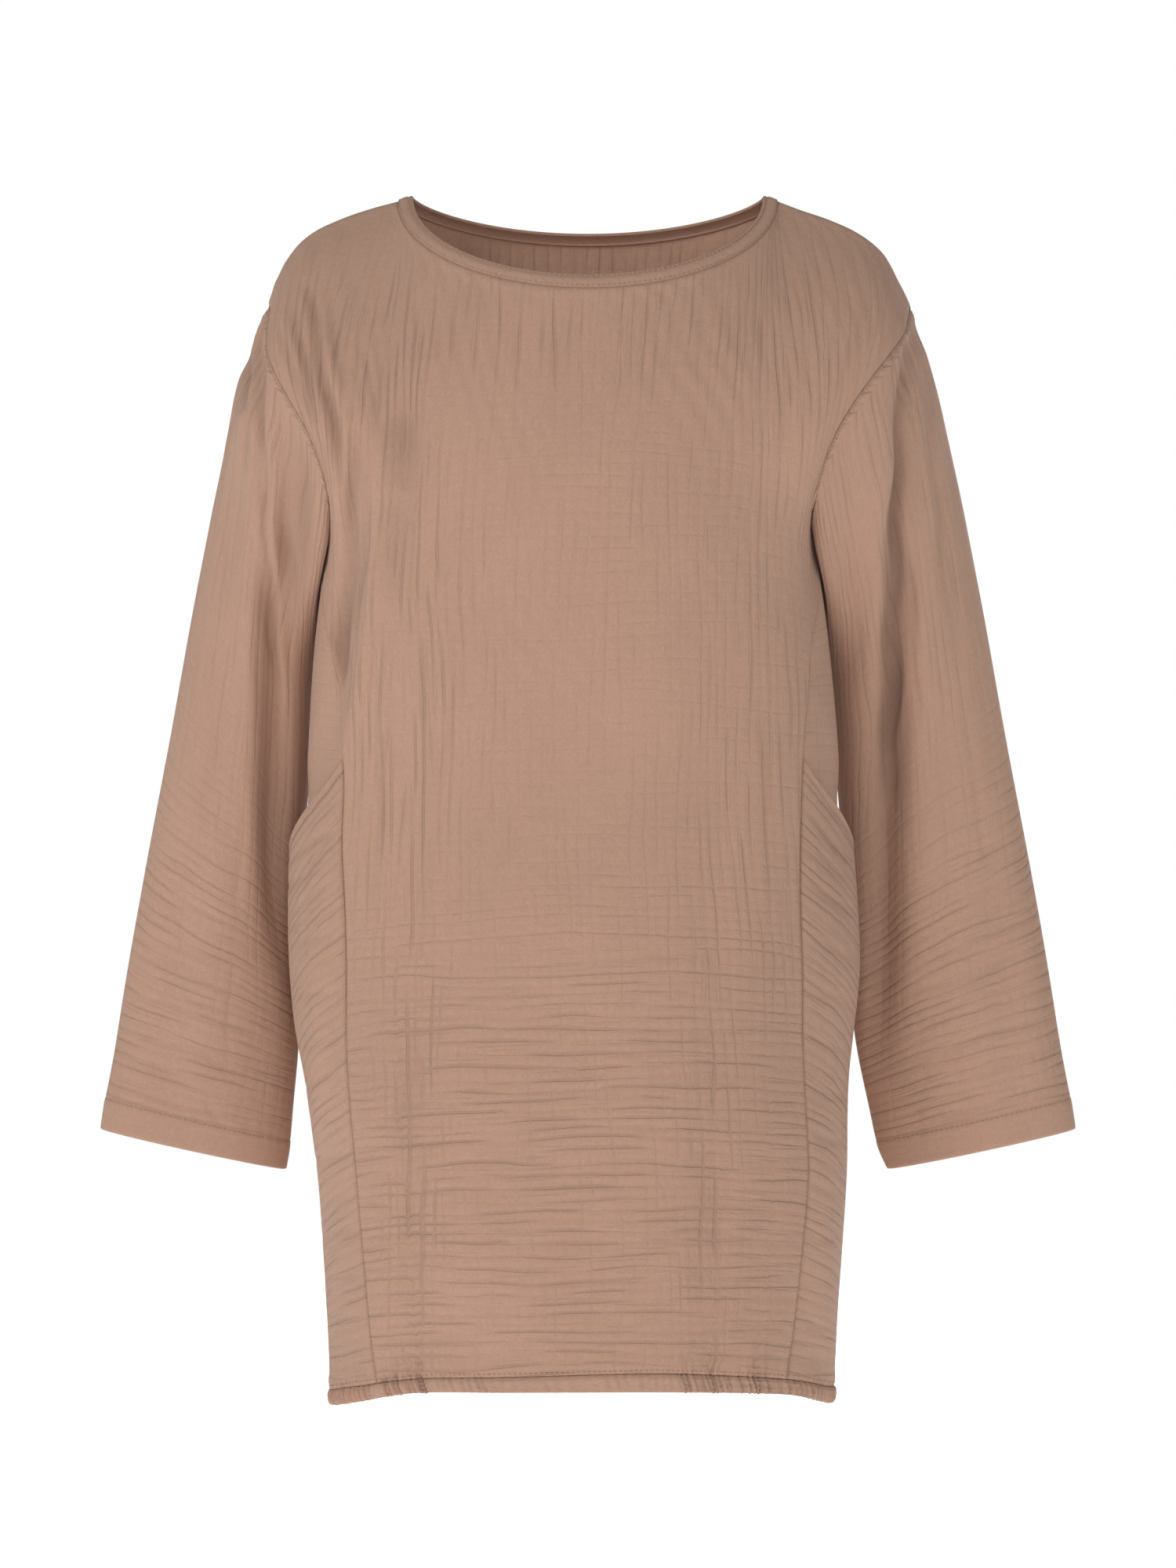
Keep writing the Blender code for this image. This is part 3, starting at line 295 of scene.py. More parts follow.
BACK_CREASES = (
    Crease(3.6, -1.4, ((-172, -64), (-166, -98), (-160, -130))),
    Crease(3.6, -1.2, ((176, -66), (169, -98), (162, -128))),
    Crease(2.8, -0.6, ((-118, -44), (-116, -80), (-117, -118))),
    Crease(2.8, -0.6, ((112, -42), (114, -86), (112, -124))),
    Crease(2.6, -0.5, ((-86, -44), (-85, -92))),
    Crease(2.6, -0.5, ((-52, -46), (-54, -90), (-52, -120))),
    Crease(2.6, -0.4, ((-16, -44), (-15, -92))),
    Crease(2.6, -0.5, ((22, -46), (21, -96), (23, -126))),
    Crease(2.6, -0.5, ((60, -44), (62, -88))),
    Crease(2.6, -0.5, ((90, -48), (88, -96))),
    Crease(2.8, -0.8, ((-124, -190), (-128, -232), (-131, -280))),
    Crease(2.8, -0.8, ((118, -192), (123, -236), (127, -282))),
    Crease(3.4, -0.8, ((-96, -240), (-93, -340), (-94, -460))),
    Crease(3.4, -0.8, ((90, -250), (94, -350), (92, -470))),
    Crease(5.0, -0.9, ((-20, -300), (-16, -420), (-18, -560))),
    Crease(5.0, -0.9, ((10, -470), (14, -600), (11, -730))),
    Crease(2.4, -0.7, ((-104, -520), (-102, -620), (-99, -724))),
    Crease(2.4, -0.7, ((98, -530), (99, -630), (95, -728))),
    Crease(2.6, -0.6, ((-112, -560), (-60, -556), (-12, -559))),
    Crease(2.4, -0.5, ((-20, -584), (40, -588), (96, -583))),
    Crease(2.4, -0.5, ((-96, -612), (-40, -609), (10, -613))),
    Crease(2.6, -0.6, ((8, -640), (66, -636), (116, -641))),
    Crease(2.4, -0.5, ((-120, -662), (-70, -666), (-22, -662))),
    Crease(2.4, -0.5, ((-50, -692), (10, -688), (70, -693))),
    Crease(2.4, -0.5, ((-110, -716), (-60, -713), (-14, -717))),
    Crease(2.4, -0.5, ((24, -722), (70, -718), (112, -722))),
    Crease(2.4, -0.4, ((-70, -508), (-16, -504), (30, -508))),
    Crease(2.4, -0.4, ((30, -480), (76, -484), (110, -480))),
)
# Both lower side pieces: the left one's creases come first
SIDE_CREASES = (
    Crease(2.4, -1.2, ((-191, -426), (-178, -416), (-160, -404))),
    Crease(2.6, -1.6, ((-191, -444), (-178, -430), (-168, -414), (-160, -403))),
    Crease(2.4, -0.9, ((-191, -458), (-176, -446), (-162, -438))),
    Crease(2.2, -0.7, ((-191, -468), (-181, -460))),
    Crease(2.4, -0.8, ((-190, -480), (-176, -474), (-158, -470))),
    Crease(2.4, -0.7, ((-187, -512), (-172, -506), (-156, -504))),
    Crease(2.4, -0.7, ((-184, -542), (-168, -537), (-152, -536))),
    Crease(2.4, -0.7, ((-182, -568), (-166, -560), (-150, -559))),
    Crease(2.4, -0.6, ((-178, -590), (-164, -586), (-150, -584))),
    Crease(2.4, -0.7, ((-176, -616), (-160, -608), (-146, -606))),
    Crease(2.4, -0.6, ((-172, -640), (-156, -634), (-142, -633))),
    Crease(2.4, -0.7, ((-170, -664), (-154, -657), (-138, -655))),
    Crease(2.4, -0.6, ((-168, -690), (-152, -684), (-134, -682))),
    Crease(2.4, -0.6, ((-166, -716), (-150, -709), (-134, -706))),
    Crease(2.6, -1.1, ((144, -380), (156, -394), (164, -406))),
    Crease(2.8, -1.5, ((138, -392), (150, -408), (156, -415), (168, -424))),
    Crease(2.4, -1.1, ((143, -418), (152, -425), (167, -436))),
    Crease(2.6, -1.3, ((138, -434), (146, -440), (158, -450), (168, -458))),
    Crease(2.4, -0.8, ((140, -470), (152, -478), (170, -490))),
    Crease(2.4, -0.7, ((139, -498), (150, -508), (170, -514))),
    Crease(2.4, -0.7, ((136, -530), (150, -538), (168, -544))),
    Crease(2.4, -0.7, ((136, -562), (150, -570), (166, -574))),
    Crease(2.4, -0.7, ((136, -592), (150, -600), (164, -603))),
    Crease(2.4, -0.6, ((134, -622), (148, -630), (162, -632))),
    Crease(2.4, -0.7, ((132, -652), (146, -660), (160, -662))),
    Crease(2.4, -0.6, ((130, -682), (144, -690), (158, -692))),
    Crease(2.4, -0.6, ((128, -710), (144, -718), (156, -720))),
)
LEFT_SLEEVE_CREASES = (
    # the ridge down from the armhole, with the cloth stepping back towards the body
    Crease(6.0, 2.6, ((-203.5, -112), (-202, -150), (-199.5, -205), (-195, -285), (-188, -385))),
    Crease(2.6, -2.6, ((-206.5, -107), (-206, -155), (-203.8, -208), (-200.5, -273), (-198, -326),
                       (-194, -393))),
    Crease(2.6, -2.2, ((-213.5, -90), (-217, -112), (-220.7, -139))),
    Crease(2.6, -2.2, ((-208.5, -90), (-213, -125), (-218.6, -176))),
    Crease(2.6, -2.0, ((-205.5, -94), (-207.9, -134), (-207.3, -176))),
    Crease(4.0, -3.5, ((-197, -118), (-195, -160), (-192, -220), (-188, -300), (-183, -390))),
    Crease(8.0, -5.0, ((-186, -140), (-182, -190), (-178, -250), (-176, -320), (-176, -400))),
    Crease(7.0, -2.5, ((-186, -380), (-190, -450), (-196, -520), (-199, -570))),
    Crease(3.2, -1.8, ((-210, -86), (-216, -112), (-220, -140))),
    Crease(3.2, -1.6, ((-206, -92), (-209, -116), (-211, -146))),
    Crease(3.6, -2.0, ((-203, -100), (-206, -130), (-208, -165), (-207, -205))),
    Crease(3.2, -1.2, ((-217, -96), (-223, -124), (-227, -156))),
    Crease(3.2, -0.7, ((-216, -150), (-222, -200), (-228, -260))),
    Crease(3.2, -0.6, ((-228, -190), (-235, -250), (-242, -310))),
    Crease(3.4, -0.7, ((-205, -220), (-209, -280), (-212, -330))),
    Crease(3.0, -0.6, ((-236, -330), (-244, -390), (-250, -430))),
    Crease(3.0, -0.5, ((-220, -340), (-223, -400), (-224, -470))),
    Crease(2.6, -0.6, ((-282, -472), (-262, -478), (-240, -486), (-222, -492))),
    Crease(2.6, -0.7, ((-291, -484), (-262, -492), (-242, -500), (-226, -508))),
    Crease(2.6, -0.6, ((-270, -508), (-246, -516), (-212, -520))),
    Crease(2.6, -0.5, ((-292, -510), (-270, -514), (-240, -524))),
    Crease(2.6, -0.7, ((-299, -532), (-272, -540), (-244, -550), (-212, -562))),
    Crease(2.6, -0.6, ((-300, -550), (-278, -556), (-256, -566))),
    Crease(2.6, -0.6, ((-302, -568), (-280, -572), (-254, -582), (-222, -588))),
    Crease(2.4, -0.5, ((-232, -528), (-210, -534))),
    Crease(2.4, -0.5, ((-236, -544), (-214, -552), (-200, -562))),
    Crease(2.6, -0.6, ((-247, -575), (-238, -592))),
    Crease(2.6, -0.5, ((-227, -494), (-228, -520), (-232, -560))),
    Crease(2.6, -0.5, ((-276, -420), (-262, -426), (-246, -436))),
    Crease(2.6, -0.5, ((-280, -446), (-262, -452), (-236, -462))),
)
RIGHT_SLEEVE_CREASES = (
    # the long trough down from the armhole
    Crease(4.0, -6.5, ((202, -84), (200, -122), (198.5, -170), (195, -230), (193, -290),
                       (190.5, -362), (188, -420))),
    Crease(2.6, -2.6, ((202.6, -112), (198.4, -155), (198.4, -192), (200, -219), (202, -250))),
    Crease(2.6, -2.2, ((189.3, -206), (191.1, -273), (192.5, -326), (189.8, -384))),
    Crease(2.6, -1.6, ((203.2, -230), (207.2, -286), (210, -342))),
    Crease(10.0, -3.0, ((204, -110), (203, -170), (200, -240), (197, -330), (193, -410))),
    Crease(5.0, -4.5, ((190, -360), (187, -420), (185, -464), (184.5, -520), (188, -580))),
    Crease(6.0, 1.6, ((190, -140), (185, -210), (181, -290), (178, -360))),
    Crease(3.2, -1.5, ((213, -104), (219, -160), (226, -225), (230, -290))),
    Crease(2.8, -0.9, ((204.5, -72), (206, -82), (208, -92))),
    Crease(2.8, -0.8, ((209, -78), (211, -88), (214, -100))),
    Crease(2.8, -0.9, ((203.5, -90), (203.5, -104), (204, -122))),
    Crease(3.2, -0.7, ((212, -112), (218, -150), (224, -200))),
    Crease(3.2, -0.6, ((222, -180), (232, -240), (240, -300))),
    Crease(3.4, -0.7, ((206, -170), (208, -230), (210, -300))),
    Crease(3.0, -0.6, ((240, -330), (248, -380), (256, -440))),
    Crease(3.0, -0.5, ((222, -330), (226, -390), (228, -450))),
    Crease(2.6, -0.6, ((280, -462), (258, -470), (234, -480), (212, -486))),
    Crease(2.6, -0.7, ((288, -482), (262, -490), (236, -500), (214, -508))),
    Crease(2.6, -0.5, ((292, -504), (270, -510), (248, -520))),
    Crease(2.6, -0.6, ((296, -524), (266, -532), (236, -542), (206, -552))),
    Crease(2.6, -0.6, ((300, -546), (276, -552), (246, -562))),
    Crease(2.6, -0.6, ((302, -566), (276, -574), (250, -582), (214, -592))),
    Crease(2.4, -0.5, ((232, -522), (208, -530))),
    Crease(2.6, -0.5, ((236, -508), (238, -550), (242, -590))),
    Crease(2.6, -0.5, ((272, -410), (258, -418), (240, -426))),
    Crease(2.6, -0.5, ((274, -436), (254, -442), (232, -450))),
)


def smooth(keys, values, at):
    """Value at the given place of the smooth curve through the points, whose keys rise."""
    keys = np.asarray(keys, float)
    values = np.asarray(values, float)
    at = np.clip(np.asarray(at, float), keys[0], keys[-1])
    low = np.clip(np.searchsorted(keys, at, side="right") - 1, 0, len(keys) - 2)
    slope = np.gradient(values, keys, axis=0)
    span = keys[low + 1] - keys[low]
    t = (at - keys[low]) / span
    if values.ndim > 1:
        t, span = t[..., None], span[..., None]
    return ((1 + 2 * t) * (1 - t) ** 2 * values[low] + t * (1 - t) ** 2 * span * slope[low]
            + t ** 2 * (3 - 2 * t) * values[low + 1] - t ** 2 * (1 - t) * span * slope[low + 1])


def column(table, key, name, at):
    """One column of a table, read as a smooth curve over the table's key column."""
    rows = sorted(table, key=lambda row: getattr(row, key))
    return smooth([getattr(row, key) for row in rows], [getattr(row, name) for row in rows], at)


def ease(t):
    """Rise from 0 to 1 with level ends."""
    t = np.clip(t, 0.0, 1.0)
    return t * t * (3 - 2 * t)


def unit(vectors):
    return vectors / np.maximum(np.linalg.norm(vectors, axis=-1, keepdims=True), 1e-12)


def stack(x, y, z):
    return np.stack(np.broadcast_arrays(x, y, z), axis=-1).astype(float)


def along_curve(points, share):
    """Point of the smooth curve through the points, by share of its length."""
    steps = np.linalg.norm(np.diff(points, axis=0), axis=1)
    lengths = np.concatenate([[0.0], np.cumsum(steps)])
    return smooth(lengths / lengths[-1], points, share)


def read_along(places, lengths, points):
    """Points read at the given distances along a path."""
    return np.stack([np.interp(places, lengths, points[:, axis]) for axis in range(3)], axis=-1)


# The body's form

def body_ring(degrees, z):
    """Outer point of the body: 0 is the right side, 90 the front, 180 the left side."""
    angle = np.radians(degrees)
    across, ahead = np.cos(angle), np.sin(angle)
    half_width = column(BODY, "z", "half_width", z)
    in_front = ahead >= 0
    depth = np.where(in_front, column(BODY, "z", "front", z), column(BODY, "z", "back", z))
    power = 2 / np.where(in_front, FRONT_POWER, BACK_POWER)
    x = column(BODY, "z", "shift", z) + half_width * np.sign(across) * np.abs(across) ** power
    y = -depth * np.sign(ahead) * np.abs(ahead) ** power
    return stack(x, y, z)


def ring_angle(points):
    """Degrees round the body of each point."""
    x, y, z = points[..., 0], points[..., 1], points[..., 2]
    in_front = y < 0
    depth = np.where(in_front, column(BODY, "z", "front", z), column(BODY, "z", "back", z))
    power = np.where(in_front, FRONT_POWER, BACK_POWER) / 2
    across = (x - column(BODY, "z", "shift", z)) / column(BODY, "z", "half_width", z)
    across = np.sign(across) * np.abs(across) ** power
    ahead = -np.sign(y) * np.abs(y / depth) ** power
    return np.mod(np.degrees(np.arctan2(ahead, across)), 360)


def out_of_body(points):
    z = points[..., 2]
    width = column(BODY, "z", "half_width", z)
    depth = column(BODY, "z", "front", z)
    x = (points[..., 0] - column(BODY, "z", "shift", z)) / width ** 2
    y = points[..., 1] / depth ** 2
    return unit(stack(x, y, np.zeros_like(z)))


def body_folds(points):
    x, y, z = points[..., 0], points[..., 1], points[..., 2]
    total = np.zeros_like(x)
    for fold in BODY_FOLDS:
        t = (z - fold.top_z) / (fold.bottom_z - fold.top_z)
        path = smooth((0, 0.5, 1), (fold.top_x, fold.middle_x, fold.bottom_x), t)
        fade = ease(t / FOLD_FADE) * ease((1 - t) / FOLD_FADE)
        on_face = ease(y * fold.face / 30.0)
        total += fold.depth * fade * on_face * np.exp(-((x - path) / fold.width) ** 2)
    return total


def seam_angle(z):
    return column(PANEL_SEAM, "z", "degrees", z)


def hem_height(degrees):
    return column(HEM, "degrees", "hem_z", np.mod(np.asarray(degrees) + 10, 360) - 10)


def casing_top(degrees):
    around = np.mod(np.asarray(degrees) + 10, 360) - 10
    return hem_height(around) + column(HEM, "degrees", "casing", around)


def body_cloth(degrees_at, level):
    """Body points by level, where degrees_at gives the angle for a height."""
    last = np.clip(level - (len(LEVELS) - 1), 0, 1)
    z = np.interp(level, np.arange(len(LEVELS)), LEVELS)
    degrees = degrees_at(z - 30.0 * last)
    z = z + (casing_top(degrees) - z) * last
    points = body_ring(degrees, z)
    return points + out_of_body(points) * body_folds(points)[..., None]


def shoulder_tip(side):
    point = ARMHOLE[side][0]
    return np.array([side * point.out, 0.0, point.z])


def panel_angle(face, u, z):
    edge = seam_angle(z)
    return 180 + face * (edge + u * (180 - 2 * edge))


def panel_side(side, face, row):
    """Side edge of a panel: the armhole, then the seam to the side piece."""
    seam = body_cloth(lambda z: panel_angle(face, np.full_like(z, side > 0), z),
                      np.maximum(row - ARMHOLE_ROWS, 0))
    corner = body_cloth(lambda z: panel_angle(face, np.float64(side > 0), z), np.float64(0))
    points = [(side * p.out, face * p.reach, p.z) for p in ARMHOLE[side]]
    curve = np.array([corner] + points[::-1])
    armhole = along_curve(curve, np.clip(1 - row / ARMHOLE_ROWS, 0, 1))
    return np.where((row < ARMHOLE_ROWS)[..., None], armhole, seam)


def neck_loop(face, turn, half_width, point_z, middle):
    """Half of a loop round the neck: the front one lies in a plane, the back one dips."""
    middle_y, middle_z = middle[face]
    dip = np.cos(turn) if face == FRONT else np.abs(np.cos(turn)) ** BACK_DIP_POWER
    return stack(half_width * np.sin(turn), middle_y * np.cos(turn),
                 point_z + (middle_z - point_z) * dip)


def top_edge(face, u):
    """Top of a panel: left shoulder seam, neck seam, right shoulder seam."""
    ends = SHOULDER_SHARE[face]
    z = np.array([p.z for p in SHOULDER])
    left = np.stack([[-p.left for p in SHOULDER], 0 * z, z], axis=-1)[::-1]
    right = np.stack([[p.right for p in SHOULDER], 0 * z, z], axis=-1)
    turn = np.radians(180 * (np.clip(u, ends, 1 - ends) - ends) / (1 - 2 * ends) - 90)
    neck = neck_loop(face, turn, NECK_HALF_WIDTH, NECK_POINT_Z, NECK_MIDDLE)
    on_left = along_curve(left, np.clip(u / ends, 0, 1))
    on_right = along_curve(right, np.clip((u - 1 + ends) / ends, 0, 1))
    return np.where((u < ends)[..., None], on_left,
                    np.where((u > 1 - ends)[..., None], on_right, neck))


def arch(share, arc):
    """Shares of a column's way across, over and up, as it bends through an arc on its way up."""
    over = (1 - np.cos(share * arc)) / (1 - np.cos(arc))
    return np.stack([share, over, np.sin(share * arc) / np.sin(arc)], axis=-1)


def yoke(face, u, row):
    """Panel from its top edge, at row 0, to the yoke level just under the arms."""
    level = float(LEVELS[YOKE_LEVEL])
    inward = np.minimum(u, 1 - u)
    sink = ARMHOLE_SINK + (MIDDLE_SINK - ARMHOLE_SINK) * ease(inward / 0.3)
    share = np.clip(1 - row / YOKE_ROWS, 0, 1) ** sink
    bottom = body_ring(panel_angle(face, u, level), np.full_like(u, level))
    blur = NECK_POINT_ROUNDING * (1 - share) * ease(inward / NECK_POINT_ROUNDING)
    top = sum(top_edge(face, u + blur * tap) for tap in (-1, -0.5, 0, 0.5, 1)) / 5
    ends = SHOULDER_SHARE[face]
    to_neck, to_middle = ease(inward / ends), ease((inward - ends) / (0.5 - ends))
    arc = np.radians(TIP_ARC + (NECK_POINT_ARC[face] - TIP_ARC) * to_neck
                     + (NECK_ARC[face] - NECK_POINT_ARC[face]) * to_middle)
    points = bottom + (top - bottom) * arch(share, arc)
    reach = ARMHOLE_REACH + (UNDERARM_REACH - ARMHOLE_REACH) * ease(row / ARMHOLE_ROWS * 2 - 1)
    for side, from_edge in ((LEFT, u), (RIGHT, 1 - u)):
        corner = body_ring(panel_angle(face, np.float64(side > 0), level), np.float64(level))
        plain = corner + (shoulder_tip(side) - corner) * arch(share, np.radians(TIP_ARC))
        pull = np.clip(1 - from_edge / reach, 0, None) ** ARMHOLE_FADE
        points = points + (panel_side(side, face, row) - plain) * pull[..., None]
    inside = ease(inward / FOLD_INSIDE)
    return points + out_of_body(points) * (body_folds(points) * inside)[..., None]


def panel(face, u, row):
    """Front or back panel: row 0 is the top edge and the last row the casing seam."""
    u, row = np.broadcast_arrays(np.asarray(u, float), np.asarray(row, float))
    lower = body_cloth(lambda z: panel_angle(face, u, z), np.maximum(row - ARMHOLE_ROWS, 0))
    return np.where((row < YOKE_ROWS)[..., None], yoke(face, u, row), lower)


def side_cloth(side, across, level):
    """Side piece: across is 1 at the front seam, 0 at the side and -1 at the back seam."""
    across, level = np.broadcast_arrays(np.asarray(across, float), np.asarray(level, float))
    middle = 0 if side == RIGHT else 180
    turn = 1 if side == RIGHT else -1
    return body_cloth(lambda z: middle + turn * across * seam_angle(z), level)


def mouth_level(across):
    """Level of the pocket's mouth, which slants down from the front seam to the back seam."""
    slant = (MOUTH_FRONT_LEVEL - MOUTH_BACK_LEVEL) / 2
    bow = (MOUTH_FRONT_LEVEL + MOUTH_BACK_LEVEL) / 2 - MOUTH_SIDE_LEVEL
    return MOUTH_SIDE_LEVEL + slant * across + bow * across ** 2


def upper_side(side, across, level):
    points = side_cloth(side, across, level)
    inset = POCKET_INSET * ease(level - mouth_level(across) + 2)
    return points - out_of_body(points) * inset[..., None]


def lower_side(side, across, row):
    level = np.maximum(MOUTH_FRONT_LEVEL + row, mouth_level(across) + MOUTH_ROW * row)
    points = side_cloth(side, across, level)
    bulge = column(POCKET_BULGE, "z", "out", points[..., 2])
    bulge = bulge * np.cos(np.clip(across, -1, 1) * np.pi / 2) ** POCKET_ROUNDING
    return points + out_of_body(points) * bulge[..., None]


def sleeve_ring(side, degrees, drop):
    """Outer point of the sleeve below its head: 0 outer edge, 90 front, 180 inner edge."""
    inner = "left_inner_x" if side == LEFT else "right_inner_x"
    read = {name: column(SLEEVE, "drop", name, drop) for name in SleeveRing._fields[1:]}
    outer = stack(side * read["outer_x"], read["outer_y"], read["outer_z"])
    inside = stack(side * read[inner], read["inner_y"], read["inner_z"])
    angle = np.radians(degrees)
    points = (outer + inside) / 2 + np.cos(angle)[..., None] * (outer - inside) / 2
    points[..., 1] -= read["depth"] * np.sin(angle)
    return points


def sleeve_cloth(side, seam, off_edge, degrees, drop):
    """Sleeve from the armhole seam: its head leaves the body's edge and bends into the rings."""
    first = sleeve_ring(side, degrees, float(HEAD_DROP) + 0 * drop)
    below = sleeve_ring(side, degrees, HEAD_DROP + 10.0 + 0 * drop)
    reach = np.linalg.norm(first - seam, axis=-1, keepdims=True)
    straight = unit(first - seam)
    carry = np.clip(np.sum(straight * off_edge, axis=-1, keepdims=True), 0, 1)
    leave = unit(straight + off_edge * carry) * reach
    arrive = (below - first) * HEAD_DROP / 10.0
    t = np.clip(drop / HEAD_DROP, 0, 1)[..., None]
    head = (seam * (1 + 2 * t) * (1 - t) ** 2 + leave * t * (1 - t) ** 2
            + first * t ** 2 * (3 - 2 * t) - arrive * t ** 2 * (1 - t))
    return np.where(t < 1, head, sleeve_ring(side, degrees, drop)), carry[..., 0]


def sleeve_folds(side, degrees, drop):
    total = np.zeros_like(degrees)
    for fold in SLEEVE_FOLDS:
        if fold.side != side:
            continue
        t = (drop - fold.top) / (fold.bottom - fold.top)
        path = smooth((0, 0.5, 1), (fold.top_at, fold.middle_at, fold.bottom_at), t)
        fade = ease(t / FOLD_FADE) * ease((1 - t) / FOLD_FADE)
        total += fold.depth * fade * np.exp(-((degrees - path) / fold.width) ** 2)
    return total


def clear_of_body(side, points):
    """Sleeve points kept just outside the body's side, which the sleeve hangs against."""
    y, z = points[..., 1], points[..., 2]
    in_front = y < 0
    depth = np.where(in_front, column(BODY, "z", "front", z), column(BODY, "z", "back", z))
    power = np.where(in_front, FRONT_POWER, BACK_POWER)
    width = column(BODY, "z", "half_width", z)
    reach = width * np.clip(1 - (np.abs(y) / depth) ** power, 0, 1) ** (1 / power)
    swell = column(POCKET_BULGE, "z", "out", z) * ease((-380.0 - z) / 30.0)
    bulge = swell * np.clip(1 - np.abs(y) / 60.0, 0, 1)
    edge = side * column(BODY, "z", "shift", z) + reach + bulge + SLEEVE_CLEARANCE
    result = points.copy()
    result[..., 0] = side * np.maximum(side * points[..., 0], edge)
    return result


# The cloth's fine forms, in millimetres: the roll of a seam edge with its pressed allowance,
# the sleeve's gathers round its head, and the turned hem of the cuff
ROLL_WIDTH = 1.1
ALLOWANCE_AT, ALLOWANCE_WIDTH, ALLOWANCE_RISE = 4.5, 3.2, 0.35
GATHER_PITCH = 9.4
GATHER_REACH = 78.0
CUFF_STITCHES_AT = 19.5
CUFF_HEM = 21.0

# Painted shade on the scale of a trough's depth in millimetres: seam and stitch grooves, the
# lower body and the pocket are painted darker; a minus is painted light, paler inside
SEAM_SHADE, PANEL_SEAM_SHADE, STITCH_SHADE = 5.0, 3.5, 2.0
BAND_SHADE = 4.0
LOW_SHADE, POCKET_SHADE = 0.9, 0.6
INSIDE_PAINTED_LIGHT = -7.5
SHADE_TONE = -0.042


# Grids of cloth

def grid_normals(points, tube=False):
    """Outward directions of a grid, with rows down and columns to the right."""
    if tube:
        right = np.roll(points, -1, axis=1) - np.roll(points, 1, axis=1)
    else:
        right = np.gradient(points, axis=1)
    return unit(np.cross(np.gradient(points, axis=0), right))


def spaced(points, count, fineness=((0, 1), (1, 1))):
    """Grid whose columns are cut into cells, finer where fineness says so by share of length."""
    share = np.linspace(0, 1, 400)
    fine = np.interp(share, *zip(*fineness))
    gone = np.concatenate([[0], np.cumsum(fine[1:] + fine[:-1])])
    cuts = np.interp(np.linspace(0, gone[-1], count + 1), gone, share)
    steps = np.linalg.norm(np.diff(points, axis=0), axis=-1)
    lengths = np.concatenate([np.zeros((1, points.shape[1])), np.cumsum(steps, axis=0)])
    result = np.zeros((count + 1, points.shape[1], 3))
    for at in range(points.shape[1]):
        result[:, at] = read_along(cuts * lengths[-1, at], lengths[:, at], points[:, at])
    return result


def evened(points, times, tube=False):
    """Grid with its kinks eased out, its edges kept."""
    points = points.copy()
    for _ in range(times):
        rows = (points[:-2] + points[2:]) / 2 - points[1:-1]
        if tube:
            points[1:-1] += 0.35 * rows
            beside = (np.roll(points, 1, axis=1) + np.roll(points, -1, axis=1)) / 2 - points
            points[1:-1] += 0.35 * beside[1:-1]
        else:
            points[1:-1, 1:-1] += 0.35 * rows[:, 1:-1]
            beside = (points[:, :-2] + points[:, 2:]) / 2 - points[:, 1:-1]
            points[1:-1, 1:-1] += 0.35 * beside[1:-1]
    return points


# Shares of an edge cell at which narrower cells are cut for the seam's roll
MARGINS = (0.16, 0.42)


def with_margins(points, *edges):
    """Grid with narrow cells along the named edges, where the seam's roll needs them."""
    for edge in edges:
        axis = 0 if edge in ("top", "bottom") else 1
        grid = np.swapaxes(points, 0, axis)
        if edge in ("bottom", "right"):
            grid = grid[::-1]
        extra = [grid[0] + (grid[1] - grid[0]) * share for share in MARGINS]
        grid = np.concatenate([grid[:1], np.stack(extra), grid[1:]])
        if edge in ("bottom", "right"):
            grid = grid[::-1]
        points = np.swapaxes(grid, 0, axis)
    return points


Lengths = namedtuple("Lengths", "across down width height from_sides")


def lengths_of(points):
    """Distances over the cloth from its left and top edges, its whole width and height, and
    the distances from the nearer side edge."""
    across = np.linalg.norm(np.diff(points, axis=1), axis=-1)
    across = np.concatenate([np.zeros((points.shape[0], 1)), np.cumsum(across, axis=1)], axis=1)
    down = np.linalg.norm(np.diff(points, axis=0), axis=-1)
    down = np.concatenate([np.zeros((1, points.shape[1])), np.cumsum(down, axis=0)])
    width = across[:, -1:]
    return Lengths(across, down, width, down[-1:], np.minimum(across, width - across))


def seam_roll(distance, depth=0.9):
    """Cloth turning in at a seam, with the pressed allowance standing out beside it."""
    allowance = ALLOWANCE_RISE * np.exp(-((distance - ALLOWANCE_AT) / ALLOWANCE_WIDTH) ** 2)
    return -depth * np.exp(-(distance / ROLL_WIDTH) ** 2) + allowance


def seam_shade(distance, depth):
    """Painted shade in the groove of a seam: how much darker it is, on the scale of a trough's
    depth.
    """
    return depth * np.exp(-(distance / ROLL_WIDTH) ** 2)


